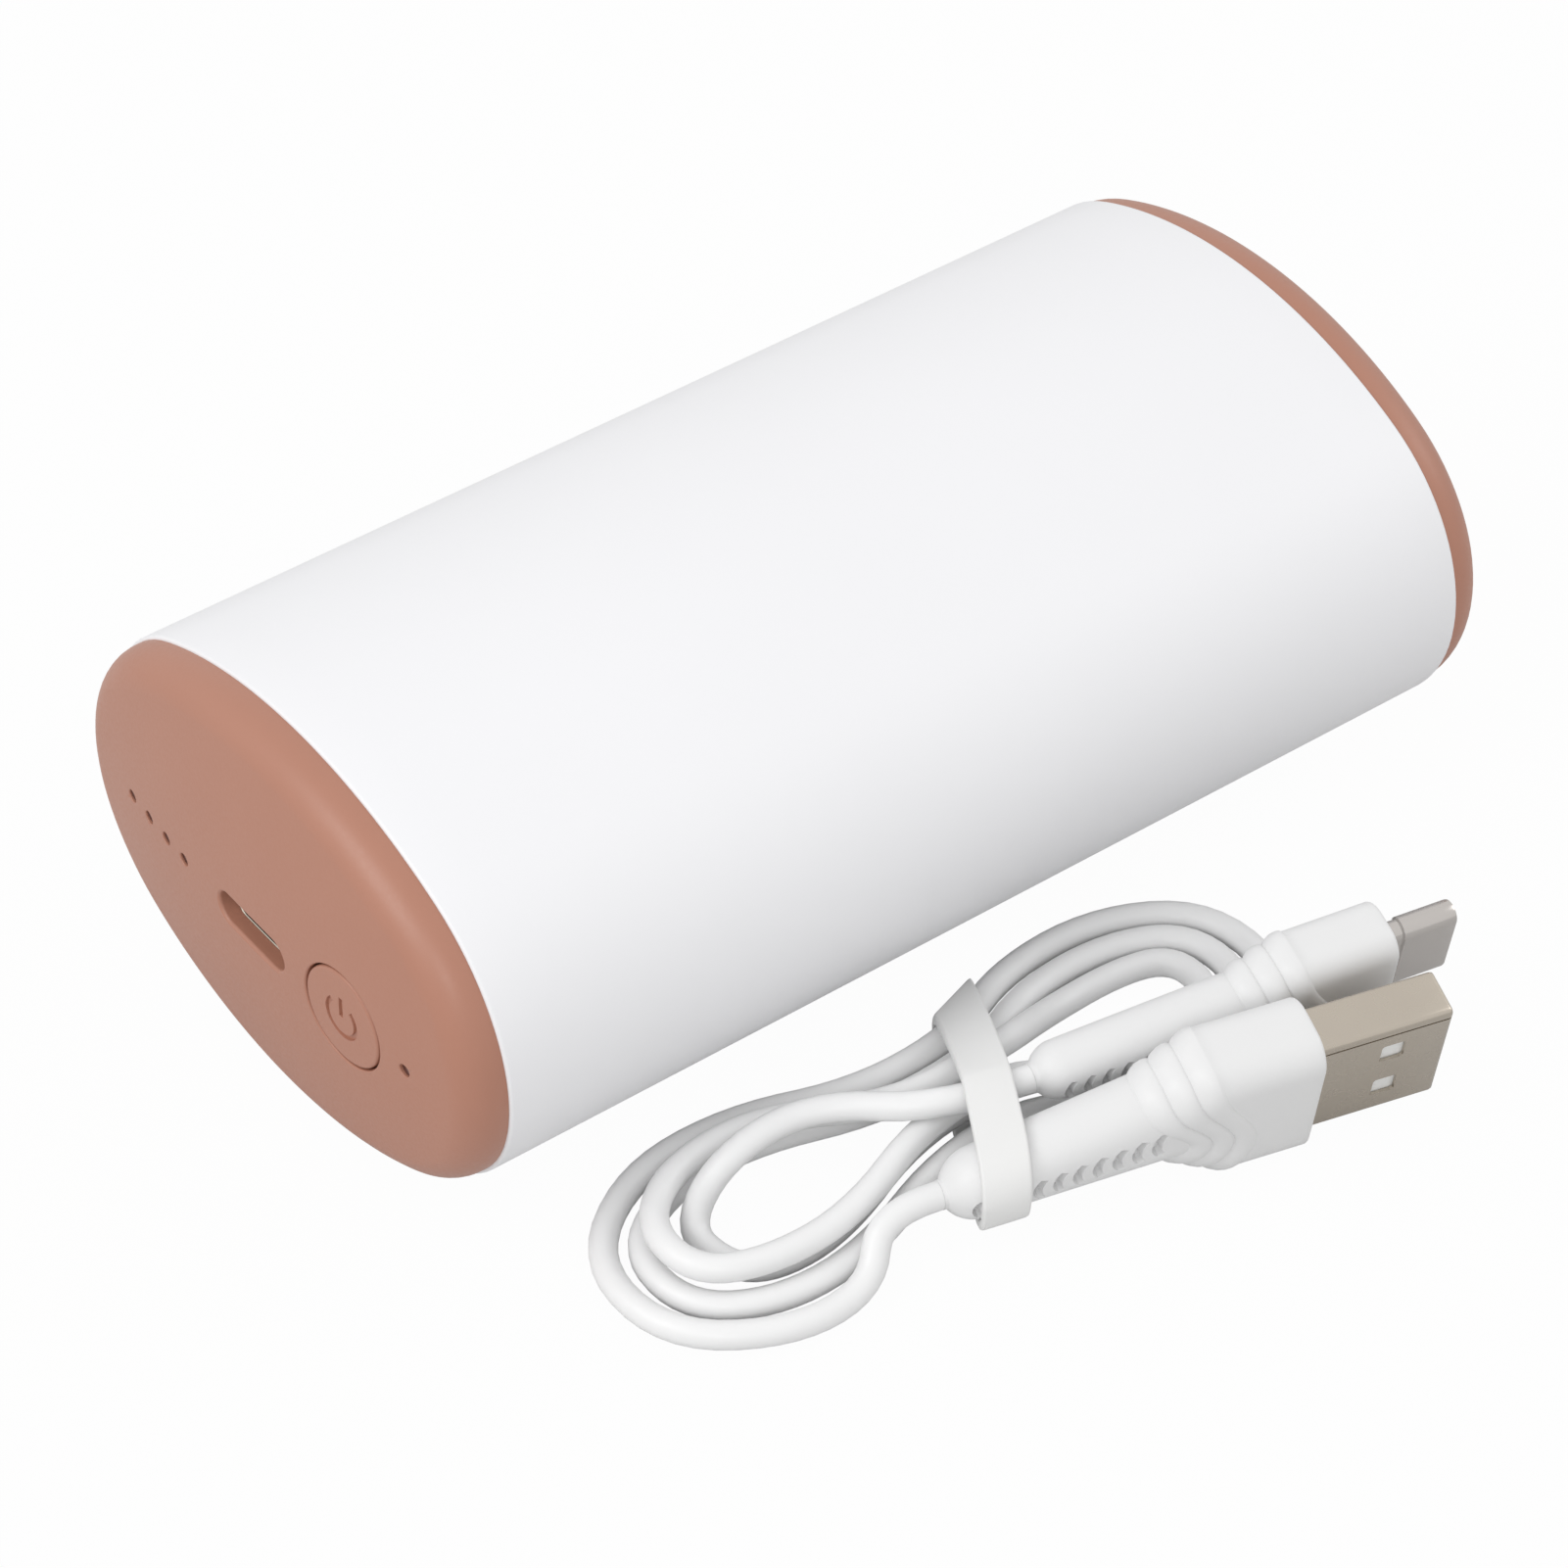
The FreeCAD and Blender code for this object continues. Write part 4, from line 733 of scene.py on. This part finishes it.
def make_grip(name, node, sizes, swing, count, ahead, place):
    """A grip with its crescents cut, so many of them ahead of the neck's end, laid in its place."""
    thickness, (block, neck, relief), tail_width, drop = sizes[1], sizes[2], sizes[4], sizes[5]
    half_thick = (thickness + tail_width) / 4
    pitch = row_share * relief / count
    slope = drop / relief
    first = (first_share - ahead) * pitch
    last_size = (last_length, tail_width / 2 / half_thick, last_width)
    row = row_mesh(crescent(half_thick), plug_pvc, count + ahead, (-pitch, 0, -slope * pitch), last_size)
    row.transform(Matrix.Translation((-block - neck - first, 0, -slope * first)))
    mesh = carve(ring_mesh(name, grip_rings(*sizes, swing), "fill"), [row])
    mesh.transform(place)
    piece = place_piece(name, mesh, "housing", plug_pvc, node)
    return piece


wide_grip = make_grip("wide_grip", "usb_a_overmold", wide_sizes, 4.6 * mm, 8, 2, wide_place)
make_grip("small_grip", "usb_c_overmold", small_sizes, 3.4 * mm, 9, 0, small_place)


# Charging cord: a round PVC lead, wound as a hank of two lobes and drawn in at the waist.
# It goes inwards from the wide plug, lays one turn on top and runs back over the rest to the small plug.
hank_x, hank_y, hank_turn = -11.5 * mm, -37 * mm, radians(2)
strand_step, layer_rise = 3.3 * mm, 3 * mm
lobe_end, lobe_peak, left_half, right_half = 33.6 * mm, 20 * mm, 11.2 * mm, 10.4 * mm
waist_lift, waist_rise, layer_aside = 2.32 * mm, 2.65 * mm, 0.7 * mm
last_short, last_along, last_across = 2 * mm, -17 * mm, 3.6 * mm
left_insets, left_layers, right_inset = (0, 1, 1.35, 2), (0, 0, 1, 0), 0.94
waist_shares, waist_layers = (1.55, -1.6, 0.68, -0.92, -0.02, -0.52), (0, 0, 0, 1, 1, 0)


def hank_way(u, v):
    """A way across the floor from along the hank and across it."""
    return Vector((u * cos(hank_turn) - v * sin(hank_turn), u * sin(hank_turn) + v * cos(hank_turn), 0))


def hank_place(u, v, z):
    """A place from along the hank, across it and up."""
    return Vector((hank_x, hank_y, z)) + hank_way(u, v)


def hank_mark(step):
    """Place and heading of one mark: waist, lobe peak, lobe end and lobe peak in turn."""
    half_turn, phase = divmod(step, 4)
    if phase == 0:
        level = 1 if half_turn % 2 else -1
        z = cord_radius + waist_rise * waist_layers[half_turn - 1] + waist_lift
        return hank_place(0, strand_step * waist_shares[half_turn - 1], z), hank_way(level, 0)
    left = half_turn % 2 == 0
    side = -1 if left else 1
    lobe = half_turn // 2
    last = half_turn == len(waist_shares)
    layer = left_layers[lobe] if left else 0
    inset = strand_step * (left_insets[lobe] if left else right_inset * lobe)
    z = cord_radius + layer_rise * layer
    if phase == 2:
        reach = lobe_end - inset - (last_short if last else 0)
        return hank_place(side * reach, 0, z), hank_way(0, -side)
    if phase == 3 and last:
        return hank_place(last_along, last_across, cord_radius + 2 * layer_rise), hank_way(1, 0)
    level = side if phase == 1 else -side
    half = (left_half if left else right_half) - inset
    return hank_place(side * lobe_peak, level * half + layer_aside * layer, z), hank_way(level, 0)


def plug_tail(seat, drop):
    """The middle of a grip's tail and the way its plug points."""
    x, y, height, heading = seat
    ahead = Vector((cos(heading), sin(heading), 0))
    aside = Vector((-sin(heading), cos(heading), 0))
    return Vector((x, y, height - drop * cos(plug_lean))) + aside * (drop * sin(plug_lean)), ahead


wide_tail, wide_way = plug_tail(wide_seat, wide_sizes[-1])
small_tail, small_way = plug_tail(small_seat, small_sizes[-1])
marks = [(wide_tail - wide_way * 2 * cord_radius, wide_way * -1)]
marks += [hank_mark(step) for step in range(1, 4 * len(waist_shares) + 4)]
marks.append((small_tail - small_way * 2 * cord_radius, small_way))
route = [wide_tail]
for (start, start_way), (end, end_way) in zip(marks, marks[1:]):
    span = end - start
    both = start_way + end_way
    bend = 2 * (1 - start_way.dot(end_way))
    if bend < 1e-8:
        arm = span.dot(span) / (4 * span.dot(end_way))
    else:
        arm = (sqrt(span.dot(both) ** 2 + bend * span.dot(span)) - span.dot(both)) / bend
    route += [start + start_way * arm, end - end_way * arm]
route.append(small_tail)
line = bpy.data.curves.new("charging_lead", "CURVE")
line.dimensions = "3D"
spline = line.splines.new("NURBS")
spline.points.add(len(route) - 1)
for point, spot in zip(spline.points, route):
    point.co = (*spot, 1)
spline.order_u = 3
spline.use_endpoint_u = True
spline.resolution_u = 6
line.bevel_depth = cord_radius
line.bevel_resolution = 6
line.use_fill_caps = True
lead_pvc, tree, shader = new_material("extruded_white_pvc", IOR=1.53)
mottle(tree, shader, "f1f1f1", "ededed", 0.5 * mm, (0.35, 0.45), 0.003 * mm)
charging_lead = place_piece("charging_lead", line, "housing", lead_pvc, "charging_cord")


# Strap: a soft white PVC band drawn round the hank's waist and the wide plug's tail.
# It is moulded flat with soft edges and a matt face.
# The strands cross it askew, so its ends are drawn askew too.
strap_pvc, tree, shader = new_material("strap_pvc", IOR=1.53)
mottle(tree, shader, "ededec", "e9e9e8", 0.4 * mm, (0.45, 0.55), 0.006 * mm)
strap_half, strap_gap, strap_soft, strap_thick = 2.1 * mm, 0.15 * mm, 0.28 * mm, 0.9 * mm
strap_lift, strap_ahead, strap_aside = 5.6 * mm, 2.3 * mm, -1.8 * mm
strap_turn, strap_step = hank_turn - radians(30), radians(3)
strap_way = Vector((cos(strap_turn), sin(strap_turn), 0))
strap_across = Vector((-sin(strap_turn), cos(strap_turn), 0))
strap_middle = hank_place(0, 0, strap_lift) + strap_way * strap_ahead + strap_across * strap_aside
wound = bpy.data.meshes.new_from_object(charging_lead.evaluated_get(bpy.context.evaluated_depsgraph_get()))
held_lines = [[mesh.vertices[end].co - strap_middle for end in edge.vertices]
              for mesh in (wound, wide_grip.data) for edge in mesh.edges]
strap_turns = [strap_step * step for step in range(round(2 * pi / strap_step))]
strap_outward = [strap_across * cos(turn) + Vector((0, 0, sin(turn))) for turn in strap_turns]


def strap_reach(along):
    """How far out the band is held all round at a place along the hank, eased so that it bends softly."""
    held = []
    for start, end in held_lines:
        before, after = along - start.dot(strap_way), end.dot(strap_way) - along
        if before * after > 0:
            held.append(start + (end - start) * before / (before + after))
    reach = [max(spot.dot(outward) for spot in held) for outward in strap_outward]
    for _ in range(3):
        neighbours = zip(reach[-1:] + reach[:-1], reach, reach[1:] + reach[:1])
        reach = [(before + 2 * here + after) / 4 for before, here, after in neighbours]
    return reach


strap_near, strap_far = strap_reach(-strap_half), strap_reach(strap_half)
strap_mid = [max(here, (near + far) / 2) for here, near, far in zip(strap_reach(0), strap_near, strap_far)]


def strap_ring(along, spare):
    """The band's outline at a place along the hank, bowed evenly from edge to edge."""
    share = along / strap_half
    reach = [mid + share * (far - near) / 2 + share ** 2 * ((near + far) / 2 - mid)
             for near, mid, far in zip(strap_near, strap_mid, strap_far)]
    ring = []
    for index, outward in enumerate(strap_outward):
        slope = (reach[(index + 1) % len(reach)] - reach[index - 1]) / (2 * strap_step)
        spot = strap_middle + strap_way * along + outward * (reach[index] + spare)
        ring.append(spot + strap_way.cross(outward) * slope)
    return ring


strap_steps = [(-strap_half, -90), (0.3 * strap_soft - strap_half, -45)]
strap_steps += [(share * (strap_half - strap_soft), 0) for share in (-1, -0.5, 0, 0.5, 1)]
strap_steps += [(strap_half - 0.3 * strap_soft, 45), (strap_half, 90)]
strap_rings, strap_normals = [], []
for side, steps in ((1, strap_steps), (-1, strap_steps[::-1])):
    for along, lean in steps:
        flat, edge = cos(radians(lean)), sin(radians(lean))
        cut = strap_soft * (1 - flat)
        strap_rings.append(strap_ring(along, strap_gap + (strap_thick - cut if side > 0 else cut)))
        strap_normals += [outward * side * flat + strap_way * edge for outward in strap_outward]
strap_mesh = ring_mesh("strap_band", strap_rings, "loop")
strap_mesh.normals_split_custom_set_from_vertices(strap_normals)
strap_band = place_piece("strap_band", strap_mesh, "housing", strap_pvc, "cord_tie")


# Table, light and camera: a white sweep, and a broad soft lamp above and behind the control end.
# A small lamp beside the camera draws the caps' edges, and one at the far end lights the cable in the shade.
table_half, table_z = 3, -0.2 * mm
table_glow, mirror_share, sky_level = 0.97, 0.2, 0.73
corners = [(-1, -1), (1, -1), (1, 1), (-1, 1)]
floor_mesh = bpy.data.meshes.new("table")
floor_mesh.from_pydata([(x * table_half, y * table_half, table_z) for x, y in corners], [], [(0, 1, 2, 3)])
table = bpy.data.objects.new("table", floor_mesh)
bpy.context.scene.collection.objects.link(table)
paper, tree, shader = new_material("white_paper", Base_Color=hex_colour("d0d0d0"), Roughness=0.9)
rays = add_node(tree, "ShaderNodeLightPath").outputs
mirrored = add_node(tree, "ShaderNodeMath", {0: rays["Is Glossy Ray"], 1: mirror_share}, operation="MULTIPLY")
either = {0: rays["Is Camera Ray"], 1: mirrored.outputs[0]}
seen = add_node(tree, "ShaderNodeMath", either, operation="MAXIMUM")
share = add_node(tree, "ShaderNodeMath", {0: seen.outputs[0], 1: table_glow}, operation="MULTIPLY")
glow = add_node(tree, "ShaderNodeEmission", {"Strength": 1.0})
blend = add_node(tree, "ShaderNodeMixShader", {0: share.outputs[0], 1: shader.outputs[0], 2: glow.outputs[0]})
tree.links.new(blend.outputs[0], tree.nodes["Material Output"].inputs["Surface"])
floor_mesh.materials.append(paper)

scene = bpy.context.scene
scene.view_settings.view_transform = "Standard"
world = bpy.data.worlds.new("studio")
scene.world = world
world.use_nodes = True
tree = world.node_tree
sky = tree.nodes["Background"]
sky.inputs["Color"].default_value = (1, 1, 1, 1)
rays = add_node(tree, "ShaderNodeLightPath").outputs
either = {0: rays["Is Camera Ray"], 1: rays["Is Glossy Ray"]}
seen = add_node(tree, "ShaderNodeMath", either, operation="MAXIMUM")
level = add_node(tree, "ShaderNodeMapRange", {"Value": seen.outputs[0], "To Min": sky_level, "To Max": 1.0})
tree.links.new(level.outputs["Result"], sky.inputs["Strength"])


def lamp(name, place, aim, size, power):
    """A round soft lamp at a place, turned to its aim."""
    light = bpy.data.lights.new(name, "AREA")
    light.shape, light.size, light.energy = "DISK", size, power
    holder = bpy.data.objects.new(name, light)
    scene.collection.objects.link(holder)
    holder.location = place
    holder.rotation_euler = (Vector(aim) - Vector(place)).to_track_quat("-Z", "Y").to_euler()


lamp("broad_lamp", (-0.58, 0.06, 0.54), (-0.03, 0, 0.02), 0.5, 1.8)
lamp("side_lamp", (-0.46, -0.47, 0.455), (-0.05, -0.02, 0.02), 0.2, 0.6)
lamp("end_lamp", (0.5, -0.17, 0.36), (0, -0.04, 0.01), 0.3, 0.45)

lens = bpy.data.cameras.new("camera")
lens.lens, lens.sensor_width, lens.clip_start = 144.16, 36, 0.01
camera = bpy.data.objects.new("camera", lens)
scene.collection.objects.link(camera)
camera.location = (-0.24225, -0.32473, 0.37855)
camera.rotation_euler = (radians(47.36), 0, radians(-36.61))
scene.camera = camera
